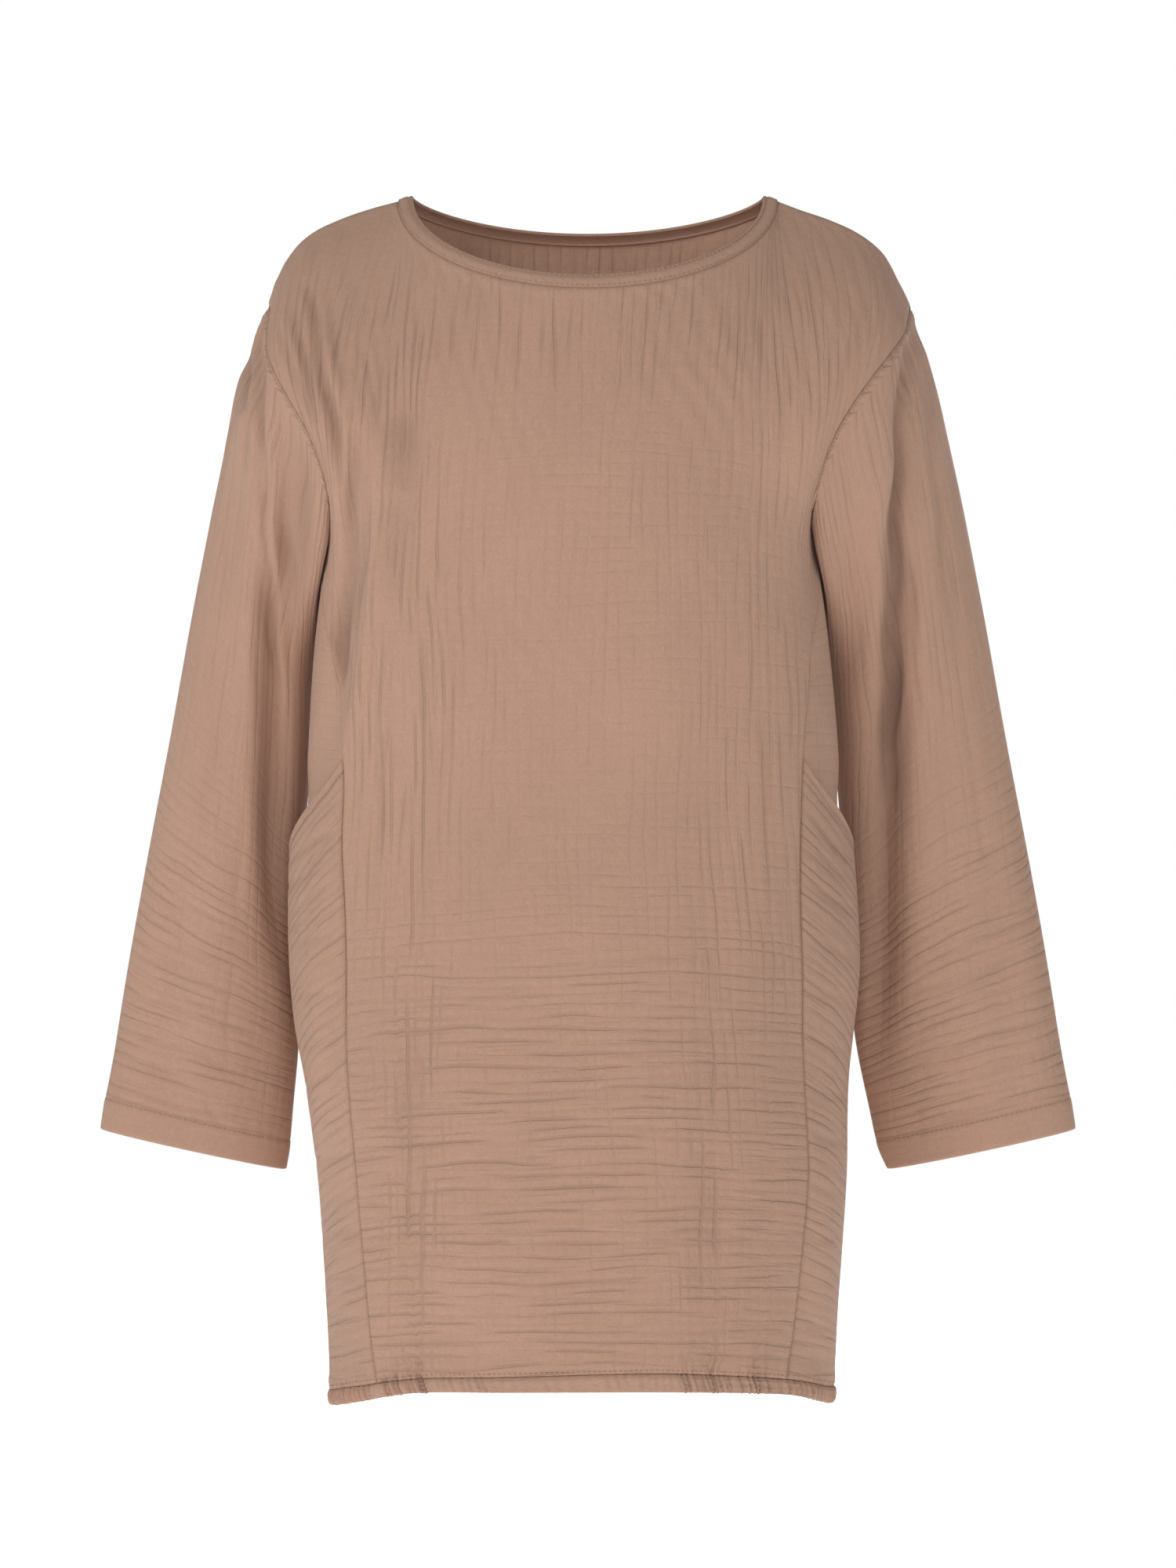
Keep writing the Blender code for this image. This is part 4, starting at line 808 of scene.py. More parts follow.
def creases(table, points, wobble=1.3):
    """How far the creases of a table stand out at each point, read in the front view."""
    x, z = points[..., 0], points[..., 2]
    total = np.zeros_like(x)
    for order, crease in enumerate(table):
        path = np.array(crease.path, float)
        reach = crease.width * 3
        low, high = path.min(axis=0) - reach, path.max(axis=0) + reach
        near = (x > low[0]) & (x < high[0]) & (z > low[1]) & (z < high[1])
        if not near.any():
            continue
        px, pz = x[near], z[near]
        steps = np.linalg.norm(np.diff(path, axis=0), axis=1)
        starts = np.concatenate([[0.0], np.cumsum(steps)])
        best, share = np.full(px.shape, 1e9), np.zeros_like(px)
        side_of = np.zeros_like(px)
        for at, step in enumerate(steps):
            way = (path[at + 1] - path[at]) / step
            ahead = (px - path[at, 0]) * way[0] + (pz - path[at, 1]) * way[1]
            beside = (px - path[at, 0]) * way[1] - (pz - path[at, 1]) * way[0]
            over = ahead - np.clip(ahead, 0, step)
            gap = np.hypot(over, beside)
            closer = gap < best
            best = np.where(closer, gap, best)
            side_of = np.where(closer, beside, side_of)
            share = np.where(closer, (starts[at] + np.clip(ahead, 0, step)) / starts[-1], share)
        drift = wobble * np.sin(share * starts[-1] / 11.0 + order * 1.7)
        gap = np.where(np.abs(side_of) <= best + 1e-6, np.abs(side_of + drift), best)
        gap = np.maximum(gap, best - np.abs(drift))
        fade = np.sin(np.pi * np.clip(share, 0, 1)) ** 0.6
        uneven = 1 + 0.25 * np.sin(share * starts[-1] / 17.0 + order * 2.9)
        total[near] += crease.depth * fade * uneven * np.exp(-(gap / crease.width) ** 2)
    return total


def gather_wave(degrees):
    """Waves that the elastic draws up round the hem."""
    total = np.zeros_like(degrees)
    for order, part in enumerate(GATHERS):
        t = (degrees - part.start) / (part.end - part.start)
        drift = 0.22 * np.sin(t * 9.1 + order) + 0.15 * np.sin(t * 23.7 + order * 2.1)
        size = 1 + 0.3 * np.sin(t * 13.3 + order * 1.3)
        edge = ease(t / 0.08) * ease((1 - t) / 0.08)
        total += part.swing * size * edge * np.cos(2 * np.pi * (t * part.waves + drift))
    return total


def above_hem(points):
    """Bunching just over the casing: upright puckers that fade upwards."""
    degrees = ring_angle(points)
    height = points[..., 2] - casing_top(degrees)
    fade = np.exp(-np.clip(height, 0, None) / (13.0 + 5.0 * np.sin(degrees * 0.31)))
    bunch = 0.7 * np.exp(-((height - 5.0) / 4.0) ** 2)
    return (gather_wave(degrees) * fade + bunch) * ease((90 - height) / 60)


def ripples(lengths):
    """Very soft unevenness of hanging cloth."""
    u, v = lengths.across, lengths.down
    wave = (np.sin(u / 31.0 + 1.3 * np.sin(v / 83.0)) + 0.8 * np.sin(v / 47.0 + u / 61.0)
            + 0.6 * np.sin(u / 19.0 - v / 71.0 + 2.0) + 0.5 * np.sin((u + v) / 27.0))
    flutes = np.sin(u / 2.5 + 1.9 * np.sin(v / 67.0 + u / 37.0) + 1.1 * np.sin(u / 17.0))
    return 0.16 * wave + 0.2 * flutes * ease((380 - v) / 300) * (1 + 0.8 * np.sin(u / 23.0))


# Meshes

# A piece's outer face, how creased each point is and how much painted shade it has in its
# troughs and grooves. Its rule says from where its map is measured lengthwise: the bottom, or
# both ends evenly.
Piece = namedtuple("Piece", "name points outward thickness tube upright level hollow rule")


def edge_lip(outer, inner, way):
    """Row between the two faces of an edge, a little beyond them, so that the edge is round."""
    thickness = np.linalg.norm(outer - inner, axis=-1, keepdims=True)
    return (outer + inner) / 2 + unit(way) * thickness * 0.32


def cloth_maps(piece):
    """Places of the points on the flat cloth, and for the faces that close a tube the same
    places from past its last column."""
    lengths = lengths_of(piece.points)
    middle = lengths.across[:, piece.points.shape[1] // 2][:, None]
    map_u = lengths.across - middle
    map_v = lengths.height - lengths.down
    if piece.rule == "both ends":
        map_v = map_v / lengths.height * lengths.height.mean()
    closing = np.linalg.norm(piece.points[:, 0] - piece.points[:, -1], axis=-1)
    join_u = np.broadcast_to(map_u[:, -1:] + closing[:, None], map_u.shape)
    return [np.stack([u, map_v], axis=-1).reshape(-1, 2) for u in (map_u, join_u)]


def grid_faces(index, tube, inside):
    """Faces of a grid of points, and which of their corners close a tube."""
    a, b, c, d = index[:-1, :-1], index[:-1, 1:], index[1:, 1:], index[1:, :-1]
    last = np.zeros(a.shape, bool)
    last[:, -1] = tube
    nowhere = np.zeros_like(last)
    if inside:
        quads, marks = (a, b, c, d), (nowhere, last, last, nowhere)
    else:
        quads, marks = (a, d, c, b), (nowhere, nowhere, last, last)
    return [np.stack(part, axis=-1).reshape(-1, 4) for part in (quads, marks)]


def rim_faces(first, second, flip, tube):
    """Band of faces between two rows of an edge, and which of their corners close a tube."""
    quads = np.stack([first[:-1], first[1:], second[1:], second[:-1]], axis=-1)
    marks = np.zeros(quads.shape, bool)
    marks[-1, 1:3] = tube
    return quads[:, ::-1] if flip else quads, marks


def cloth_object(name, points, faces, flat, layers, material):
    """Object of the given points and faces, with its cloth map and its painted layers."""
    mesh = bpy.data.meshes.new(name)
    mesh.vertices.add(len(points))
    mesh.vertices.foreach_set("co", points.reshape(-1).astype(np.float32))
    mesh.loops.add(len(faces) * 4)
    mesh.loops.foreach_set("vertex_index", faces.reshape(-1).astype(np.int32))
    mesh.polygons.add(len(faces))
    mesh.polygons.foreach_set("loop_start", np.arange(len(faces), dtype=np.int32) * 4)
    mesh.update(calc_edges=True)
    mesh.uv_layers.new(name="cloth").data.foreach_set("uv", flat.reshape(-1).astype(np.float32))
    for layer_name, values in layers.items():
        layer = mesh.attributes.new(layer_name, "FLOAT", "POINT")
        layer.data.foreach_set("value", values.astype(np.float32))
    mesh.validate()
    mesh.shade_smooth()
    mesh.materials.append(material)
    made = bpy.data.objects.new(name, mesh)
    bpy.context.scene.collection.objects.link(made)
    return made


# Edges of a grid: its points, the ones beside them, and whether the faces there turn round
RIMS = {
    "top": (np.s_[0], np.s_[1], False), "bottom": (np.s_[-1], np.s_[-2], True),
    "left": (np.s_[:, 0], np.s_[:, 1], True), "right": (np.s_[:, -1], np.s_[:, -2], False),
}


def sew_mesh(piece, material, lips=()):
    """Closed wall of cloth with a map of its own, how creased it is and its painted shading."""
    outer, tube = piece.points, piece.tube
    grid = outer.shape[:2]
    inner = outer - piece.outward * np.broadcast_to(piece.thickness, grid)[..., None]
    points = [outer.reshape(-1, 3), inner.reshape(-1, 3)]
    layers = {name: [flat, flat] for name, flat in zip(("cloth", "join"), cloth_maps(piece))}
    for name in ("upright", "level", "hollow"):
        value = np.broadcast_to(getattr(piece, name), grid).reshape(-1)
        layers[name] = [value, value]
    # painted light: the inside wall of every piece is painted paler, with a minus painted shading
    layers["hollow"][1] = layers["hollow"][0] * 0 + INSIDE_PAINTED_LIGHT
    index = np.arange(grid[0] * grid[1]).reshape(grid)
    behind = index + index.size
    count = 2 * index.size
    if tube:
        index, behind = (np.concatenate([part, part[:, :1]], axis=1) for part in (index, behind))
    faces = [grid_faces(index, tube, False), grid_faces(behind, tube, True)]
    for edge, (where, beside, flip) in RIMS.items():
        if tube and edge in ("left", "right"):
            continue
        rows = [index[where], behind[where]]
        if edge in lips:
            lip = edge_lip(outer[where], inner[where], outer[where] - outer[beside])
            points.append(lip)
            for values in layers.values():
                values.append(values[0][index[where][:len(lip)]])
            between = count + np.arange(len(lip))
            count += len(lip)
            rows.insert(1, np.append(between, between[0]) if tube else between)
        faces += [rim_faces(first, second, flip, tube) for first, second in zip(rows, rows[1:])]
    quads, joined = (np.concatenate(part) for part in zip(*faces))
    layers = {name: np.concatenate(values) for name, values in layers.items()}
    corners = quads.reshape(-1)
    flat = np.where(joined.reshape(-1)[:, None], layers.pop("join")[corners],
                    layers.pop("cloth")[corners]) * MM
    return cloth_object(piece.name, np.concatenate(points) * MM, quads, flat, layers, material)


# Shaders

def new_group(name, inputs, outputs):
    group = bpy.data.node_groups.new(name, "ShaderNodeTree")
    for label, kind, value in inputs:
        socket = group.interface.new_socket(label, in_out="INPUT", socket_type=kind)
        if value is not None:
            socket.default_value = value
    for label, kind in outputs:
        group.interface.new_socket(label, in_out="OUTPUT", socket_type=kind)
    return group, group.nodes.new("NodeGroupInput"), group.nodes.new("NodeGroupOutput")


def math_node(tree, operation, *values):
    node = tree.nodes.new("ShaderNodeMath")
    node.operation = operation
    for at, value in enumerate(values):
        if isinstance(value, (int, float)):
            node.inputs[at].default_value = value
        else:
            tree.links.new(value, node.inputs[at])
    return node.outputs[0]


def scaled(tree, vector, scale, turn=0.0, shift=(0.0, 0.0, 0.0)):
    """Place on the cloth, stretched, turned and moved for a noise."""
    node = tree.nodes.new("ShaderNodeMapping")
    tree.links.new(vector, node.inputs["Vector"])
    node.inputs["Scale"].default_value = scale
    node.inputs["Rotation"].default_value = (0, 0, turn)
    node.inputs["Location"].default_value = shift
    return node.outputs[0]


def noise(tree, vector, scale, detail=2.0, roughness=0.5, distortion=0.0):
    node = tree.nodes.new("ShaderNodeTexNoise")
    tree.links.new(vector, node.inputs["Vector"])
    node.inputs["Scale"].default_value = scale
    node.inputs["Detail"].default_value = detail
    node.inputs["Roughness"].default_value = roughness
    node.inputs["Distortion"].default_value = distortion
    return node.outputs["Fac"]


def spread(tree, value, low, high, to_low=0.0, to_high=1.0):
    node = tree.nodes.new("ShaderNodeMapRange")
    node.interpolation_type = "SMOOTHSTEP"
    tree.links.new(value, node.inputs["Value"])
    for label, number in (("From Min", low), ("From Max", high), ("To Min", to_low),
                          ("To Max", to_high)):
        node.inputs[label].default_value = number
    return node.outputs["Result"]


def placed_noise(tree, vector, scale, shift, detail=2.0, distortion=0.0):
    """Noise stretched along the cloth, read at a place of its own."""
    place = scaled(tree, vector, scale, shift=(shift, shift * 0.7, 0.0))
    return noise(tree, place, 1.0, detail, 0.5, distortion)


def crinkle_group():
    """Crinkled double gauze: crease lines both ways, crepe, soft puffs and the open weave."""
    tree, given, result = new_group(
        "crinkled gauze",
        (("Map", "NodeSocketVector", None), ("Upright", "NodeSocketFloat", 0.3),
         ("Level", "NodeSocketFloat", 0.3), ("Crease Depth", "NodeSocketFloat", 0.5),
         ("Crepe Depth", "NodeSocketFloat", 0.12)),
        (("Height", "NodeSocketFloat"), ("Line", "NodeSocketFloat"),
         ("Crepe", "NodeSocketFloat"), ("Thread", "NodeSocketFloat")))
    cloth_map = given.outputs["Map"]
    parts = tree.nodes.new("ShaderNodeSeparateXYZ")
    tree.links.new(cloth_map, parts.inputs[0])
    lines, puffs = [], []
    for label, axis, pitch, drift, present, fine, shift in (
            ("Upright", "X", 0.0079, (24, 6, 1), (120, 15, 1), (300, 20, 1), 3.1),
            ("Level", "Y", 0.0070, (7, 24, 1), (17, 130, 1), (18, 290, 1), 7.4)):
        wander = placed_noise(tree, cloth_map, drift, shift)
        phase = math_node(tree, "MULTIPLY", parts.outputs[axis], 2 * math.pi / pitch)
        phase = math_node(tree, "ADD", phase, math_node(tree, "MULTIPLY", wander, 17.0))
        wave = math_node(tree, "SINE", phase)
        shown = spread(tree, placed_noise(tree, cloth_map, present, shift + 4.0, 1.0, 0.2),
                       0.38, 0.62)
        long_ones = math_node(tree, "MULTIPLY", spread(tree, wave, 0.42, 1.0), shown)
        short_ones = spread(tree, placed_noise(tree, cloth_map, fine, shift + 2.0), 0.52, 0.70,
                            0.0, 0.52)
        both = math_node(tree, "MAXIMUM", long_ones, short_ones)
        lines.append(math_node(tree, "MULTIPLY", both, given.outputs[label]))
        puffs.append(math_node(tree, "MULTIPLY", wave, given.outputs[label]))
    line = math_node(tree, "MAXIMUM", *lines)
    puff = math_node(tree, "ADD", *puffs)
    crepe = noise(tree, scaled(tree, cloth_map, (430, 330, 1), 0.5), 1.0, 3.0, 0.62, 1.6)
    warp = math_node(tree, "SINE", math_node(tree, "MULTIPLY", parts.outputs["X"], 9500.0))
    weft = math_node(tree, "SINE", math_node(tree, "MULTIPLY", parts.outputs["Y"], 8700.0))
    thread = math_node(tree, "MULTIPLY", warp, weft)
    height = math_node(tree, "MULTIPLY", line,
                       math_node(tree, "MULTIPLY", given.outputs["Crease Depth"], -1.0))
    height = math_node(tree, "ADD", height, math_node(tree, "MULTIPLY", puff, -0.13))
    height = math_node(tree, "ADD", height,
                       math_node(tree, "MULTIPLY", crepe, given.outputs["Crepe Depth"]))
    height = math_node(tree, "ADD", height, math_node(tree, "MULTIPLY", thread, 0.012))
    for label, value in (("Height", height), ("Line", line), ("Crepe", crepe),
                         ("Thread", thread)):
        tree.links.new(value, result.inputs[label])
    return tree


def toned(tree, tone):
    """Node that makes a colour lighter or darker."""
    colour = tree.nodes.new("ShaderNodeVectorMath")
    colour.operation = "SCALE"
    tree.links.new(tone, colour.inputs["Scale"])
    return colour


def cotton_group():
    """Cotton colour: dye, cloudiness, painted light on crepe tops, painted shade on crease lines.
    """
    tree, given, result = new_group(
        "cotton dye with painted shade",
        (("Map", "NodeSocketVector", None), ("Line", "NodeSocketFloat", 0.0),
         ("Crepe", "NodeSocketFloat", 0.5), ("Thread", "NodeSocketFloat", 0.0),
         ("Hollow", "NodeSocketFloat", 0.0), ("Dye", "NodeSocketColor", (0.4, 0.26, 0.2, 1.0))),
        (("Color", "NodeSocketColor"), ("Roughness", "NodeSocketFloat")))
    cloud = noise(tree, scaled(tree, given.outputs["Map"], (9, 7, 1)), 1.0, 3.0, 0.6)
    tone = spread(tree, cloud, 0.3, 0.7, 0.97, 1.03)
    # painted light and shade: crepe tops lighter, crease lines darker, and darker by the painted
    # shading (paler where it is a minus); the cloudiness and the thread tone are the cloth's own
    for part in (spread(tree, given.outputs["Crepe"], 0.3, 0.7, 0.955, 1.045),
                 spread(tree, given.outputs["Line"], 0.0, 1.0, 1.0, 0.89),
                 math_node(tree, "MULTIPLY_ADD", given.outputs["Hollow"], SHADE_TONE, 1.0),
                 spread(tree, given.outputs["Thread"], -1.0, 1.0, 0.985, 1.015)):
        tone = math_node(tree, "MULTIPLY", tone, part)
    colour = toned(tree, tone)
    tree.links.new(given.outputs["Dye"], colour.inputs[0])
    tree.links.new(colour.outputs[0], result.inputs["Color"])
    tree.links.new(spread(tree, given.outputs["Crepe"], 0.2, 0.8, 0.97, 0.86),
                   result.inputs["Roughness"])
    return tree


CRINKLE = crinkle_group()
COTTON = cotton_group()


def gauze(name, dye, crease_depth, crepe_depth):
    """Material of one cut piece."""
    material = bpy.data.materials.new(name)
    material.use_nodes = True
    tree = material.node_tree
    shader = tree.nodes["Principled BSDF"]
    shader.inputs["Metallic"].default_value = 0.0
    shader.inputs["Specular IOR Level"].default_value = 0.25
    shader.inputs["Sheen Weight"].default_value = 0.12
    shader.inputs["Sheen Roughness"].default_value = 0.6
    shader.inputs["Sheen Tint"].default_value = (1.0, 0.93, 0.87, 1.0)
    cloth_map = tree.nodes.new("ShaderNodeUVMap")
    cloth_map.uv_map = "cloth"
    crinkle = tree.nodes.new("ShaderNodeGroup")
    crinkle.node_tree = CRINKLE
    crinkle.inputs["Crease Depth"].default_value = crease_depth
    crinkle.inputs["Crepe Depth"].default_value = crepe_depth
    cotton = tree.nodes.new("ShaderNodeGroup")
    cotton.node_tree = COTTON
    cotton.inputs["Dye"].default_value = dye
    # the painted shading layer carries painted shade and painted light into the colour
    for name, label, user in (("upright", "Upright", crinkle), ("level", "Level", crinkle),
                              ("hollow", "Hollow", cotton)):
        layer = tree.nodes.new("ShaderNodeAttribute")
        layer.attribute_name = name
        tree.links.new(layer.outputs["Fac"], user.inputs[label])
    for node in (crinkle, cotton):
        tree.links.new(cloth_map.outputs[0], node.inputs["Map"])
    for label in ("Line", "Crepe", "Thread"):
        tree.links.new(crinkle.outputs[label], cotton.inputs[label])
    tree.links.new(cotton.outputs["Color"], shader.inputs["Base Color"])
    tree.links.new(cotton.outputs["Roughness"], shader.inputs["Roughness"])
    bump = tree.nodes.new("ShaderNodeBump")
    bump.inputs["Strength"].default_value = 1.0
    bump.inputs["Distance"].default_value = MM
    tree.links.new(crinkle.outputs["Height"], bump.inputs["Height"])
    tree.links.new(bump.outputs[0], shader.inputs["Normal"])
    return material


def thread_material(name, dye):
    """Twisted sewing thread."""
    material = bpy.data.materials.new(name)
    material.use_nodes = True
    tree = material.node_tree
    shader = tree.nodes["Principled BSDF"]
    shader.inputs["Specular IOR Level"].default_value = 0.35
    place = tree.nodes.new("ShaderNodeTexCoord").outputs["Object"]
    twist = noise(tree, scaled(tree, place, (1800, 1800, 1800)), 1.0, 2.0)
    tone = spread(tree, twist, 0.3, 0.7, 0.86, 1.12)
    colour = toned(tree, tone)
    colour.inputs[0].default_value = dye
    tree.links.new(colour.outputs[0], shader.inputs["Base Color"])
    tree.links.new(spread(tree, twist, 0.3, 0.7, 0.8, 0.6), shader.inputs["Roughness"])
    bump = tree.nodes.new("ShaderNodeBump")
    bump.inputs["Distance"].default_value = 0.1 * MM
    tree.links.new(twist, bump.inputs["Height"])
    tree.links.new(bump.outputs[0], shader.inputs["Normal"])
    return material


DYE = (0.455, 0.276, 0.198, 1.0)
THREAD_DYE = (0.39, 0.235, 0.168)
BODY_GAUZE = gauze("body gauze", DYE, 0.54, 0.32)
SLEEVE_GAUZE = gauze("sleeve gauze", DYE, 0.50, 0.32)
POCKET_GAUZE = gauze("pocket gauze", DYE, 0.50, 0.30)
BAND_GAUZE = gauze("band gauze", DYE, 0.24, 0.28)
THREAD = thread_material("sewing thread", THREAD_DYE)


# Stitches

def on_path(path, outward, pitch):
    """Points and directions along a path at an even pitch."""
    steps = np.linalg.norm(np.diff(path, axis=0), axis=1)
    lengths = np.concatenate([[0.0], np.cumsum(steps)])
    places = np.arange(pitch / 2, lengths[-1], pitch)
    way = read_along(places + 0.4, lengths, path) - read_along(places - 0.4, lengths, path)
    return (read_along(places, lengths, path), unit(read_along(places, lengths, outward)),
            unit(way))


def stitches(name, rows, pitch=3.3, length=2.3, radius=0.26):
    """Rows of small spindles of thread, lying in the cloth."""
    along = np.array([-0.5, -0.3, 0.0, 0.3, 0.5]) * length
    thick = np.array([0.25, 0.85, 1.0, 0.85, 0.25]) * radius
    lift = np.array([-0.35, -0.05, 0.08, -0.05, -0.35])
    sides = np.radians(np.arange(5) * 72.0)
    points, faces = [], []
    count = 0
    for path, outward in rows:
        centres, out, way = on_path(path, outward, pitch)
        beside = unit(np.cross(way, out))
        for centre, up, go, right in zip(centres, out, way, beside):
            ring = [centre + go * a + up * h + (up * math.sin(s) + right * math.cos(s)) * r
                    for a, r, h in zip(along, thick, lift) for s in sides]
            points.extend(ring)
            for cut in range(4):
                for s in range(5):
                    a, b = count + cut * 5 + s, count + cut * 5 + (s + 1) % 5
                    faces.append((a, a + 5, b + 5, b))
            faces.append(tuple(count + s for s in range(5)))
            faces.append(tuple(count + 20 + s for s in reversed(range(5))))
            count += 25
    mesh = bpy.data.meshes.new(name)
    mesh.from_pydata((np.array(points) * MM).tolist(), [], faces)
    mesh.shade_smooth()
    mesh.materials.append(THREAD)
    made = bpy.data.objects.new(name, mesh)
    bpy.context.scene.collection.objects.link(made)
    return made


def lifted(points, outward, height=0.25):
    return points + outward * height


# Pieces of the blouse

PANEL_CELLS = {FRONT: (164, 276), BACK: (136, 240)}
# Rows are finer at the neck and low down, where creases lie level
PANEL_FINENESS = ((0, 1.0), (0.16, 1.0), (0.24, 0.62), (0.52, 0.62), (0.62, 1.35), (1, 1.35))
SIDE_CELLS = 52
SLEEVE_CELLS = 196

# Patches of the cloth, in the front view, that are more creased than what is around them:
# their middle, half width and height, and how creased upright and level
Patch = namedtuple("Patch", "x z wide high upright level")
FRONT_PATCHES = (
    Patch(0, -92, 150, 34, 0.65, 0.0), Patch(-128, -112, 22, 52, 0.8, 0.0),
    Patch(-172, -112, 22, 60, 0.7, 0.0), Patch(128, -100, 34, 60, 0.5, 0.0),
    Patch(-118, -330, 30, 170, 0.8, 0.0), Patch(-80, -300, 34, 120, 0.35, 0.1),
    Patch(-150, -300, 18, 140, 0.5, 0.1), Patch(126, -290, 30, 160, 0.6, 0.1),
    Patch(-108, -610, 17, 140, 1.0, 0.2), Patch(74, -640, 16, 110, 1.0, 0.2),
    Patch(96, -420, 36, 120, 0.4, 0.1), Patch(30, -300, 80, 160, 0.1, 0.12),
    Patch(40, -200, 60, 50, 0.1, 0.12), Patch(60, -470, 70, 60, 0.15, 0.2),
    Patch(-60, -640, 90, 150, 0.1, 0.6), Patch(60, -660, 90, 120, 0.1, 0.4),
)
BACK_PATCHES = (
    Patch(0, -70, 150, 46, 0.7, 0.0), Patch(-120, -300, 40, 190, 0.8, 0.1),
    Patch(118, -310, 40, 190, 0.8, 0.1), Patch(-60, -360, 60, 120, 0.3, 0.3),
    Patch(40, -300, 80, 160, 0.3, 0.35), Patch(-96, -620, 18, 120, 0.9, 0.2),
    Patch(98, -630, 18, 120, 0.9, 0.2), Patch(-40, -640, 100, 150, 0.15, 0.7),
    Patch(60, -650, 90, 130, 0.15, 0.6),
)


def patched(patches, points, upright, level):
    """How creased each point is, both ways, on top of the given even amounts."""
    x, z = points[..., 0], points[..., 2]
    for patch in patches:
        near = np.exp(-np.abs((x - patch.x) / patch.wide) ** 3
                      - np.abs((z - patch.z) / patch.high) ** 3)
        upright = upright + patch.upright * near
        level = level + patch.level * near
    return np.clip(upright, 0, 1), np.clip(level, 0, 1)


def sew_panel(name, face):
    across, down = PANEL_CELLS[face]
    u, row = np.meshgrid(np.linspace(0, 1, across + 1), np.linspace(0, LAST_ROW, 560))
    points = evened(spaced(panel(face, u, row), down, PANEL_FINENESS), 26)
    if face == BACK:
        points = points[:, ::-1]
    points = with_margins(points, "top", "bottom", "left", "right")
    outward = grid_normals(points)
    lengths = lengths_of(points)
    from_ends = np.minimum(lengths.down, lengths.height - lengths.down)
    inside = ease(np.minimum(lengths.from_sides, from_ends) / 5.0)
    table = FRONT_CREASES if face == FRONT else BACK_CREASES
    patches = FRONT_PATCHES if face == FRONT else BACK_PATCHES
    shown = creases(table, points) * inside
    height = shown + ripples(lengths) * inside
    height += seam_roll(np.minimum(lengths.from_sides, lengths.down), 0.8)
    height += above_hem(points)
    low = ease((-400 - points[..., 2]) / 170)
    upright, level = patched(patches, points, 0.26, 0.12 + 0.55 * low)
    points = points + outward * height[..., None]
    # painted shade: darker in creases and seam grooves, and darker over the lower body in place of
    # the self-shadow of its dense crinkle
    hollow = (np.clip(-shown, 0, None) + seam_shade(lengths.down, SEAM_SHADE)
              + seam_shade(lengths.from_sides, PANEL_SEAM_SHADE) + LOW_SHADE * low)
    return Piece(name, points, grid_normals(points), CLOTH, False, upright, level,
                 hollow, "bottom")


def sew_upper_side(name, side):
    right, level = np.meshgrid(np.linspace(-1, 1, SIDE_CELLS + 1),
                               np.linspace(0, POCKET_BOTTOM_LEVEL, 140))
    points = with_margins(spaced(upper_side(side, -side * right, level), 110), "left", "right")
    outward = grid_normals(points)
    lengths = lengths_of(points)
    height = seam_roll(lengths.from_sides, 0.6) * ease(lengths.down / 40)
    points = points + outward * height[..., None]
    return Piece(name, points, grid_normals(points), CLOTH, False, 0.45, 0.35, 0.0, "bottom")


def sew_lower_side(name, side):
    right, row = np.meshgrid(np.linspace(-1, 1, SIDE_CELLS + 1),
                             np.linspace(0, POCKET_ROWS, 220))
    points = evened(spaced(lower_side(side, -side * right, row), 150), 8)
    points = with_margins(points, "top", "bottom", "left", "right")
    outward = grid_normals(points)
    lengths = lengths_of(points)
    inside = ease(np.minimum(lengths.from_sides, lengths.height - lengths.down) / 6.0)
    inside = inside * ease(lengths.down / 3.0)
    shown = creases(SIDE_CREASES, points) * inside
    height = shown + ripples(lengths) * inside
    height += seam_roll(lengths.from_sides) + above_hem(points)
    mouth = np.exp(-((lengths.down - 1.6) / 1.8) ** 2) * 0.5
    mouth -= 0.4 * np.exp(-((lengths.down - 5.2) / 1.6) ** 2)
    height += mouth * ease(lengths.from_sides / 6.0)
    points = points + outward * height[..., None]
    thickness = CLOTH + 0.8 * ease((6.5 - lengths.down) / 2.0)
    # painted shade: darker in creases and at the seams, and the whole pocket a little darker
    hollow = (np.clip(-shown, 0, None) + seam_shade(lengths.from_sides, PANEL_SEAM_SHADE)
              + POCKET_SHADE)
    return Piece(name, points, grid_normals(points), thickness, False, 0.25, 0.9,
                 hollow, "both ends")


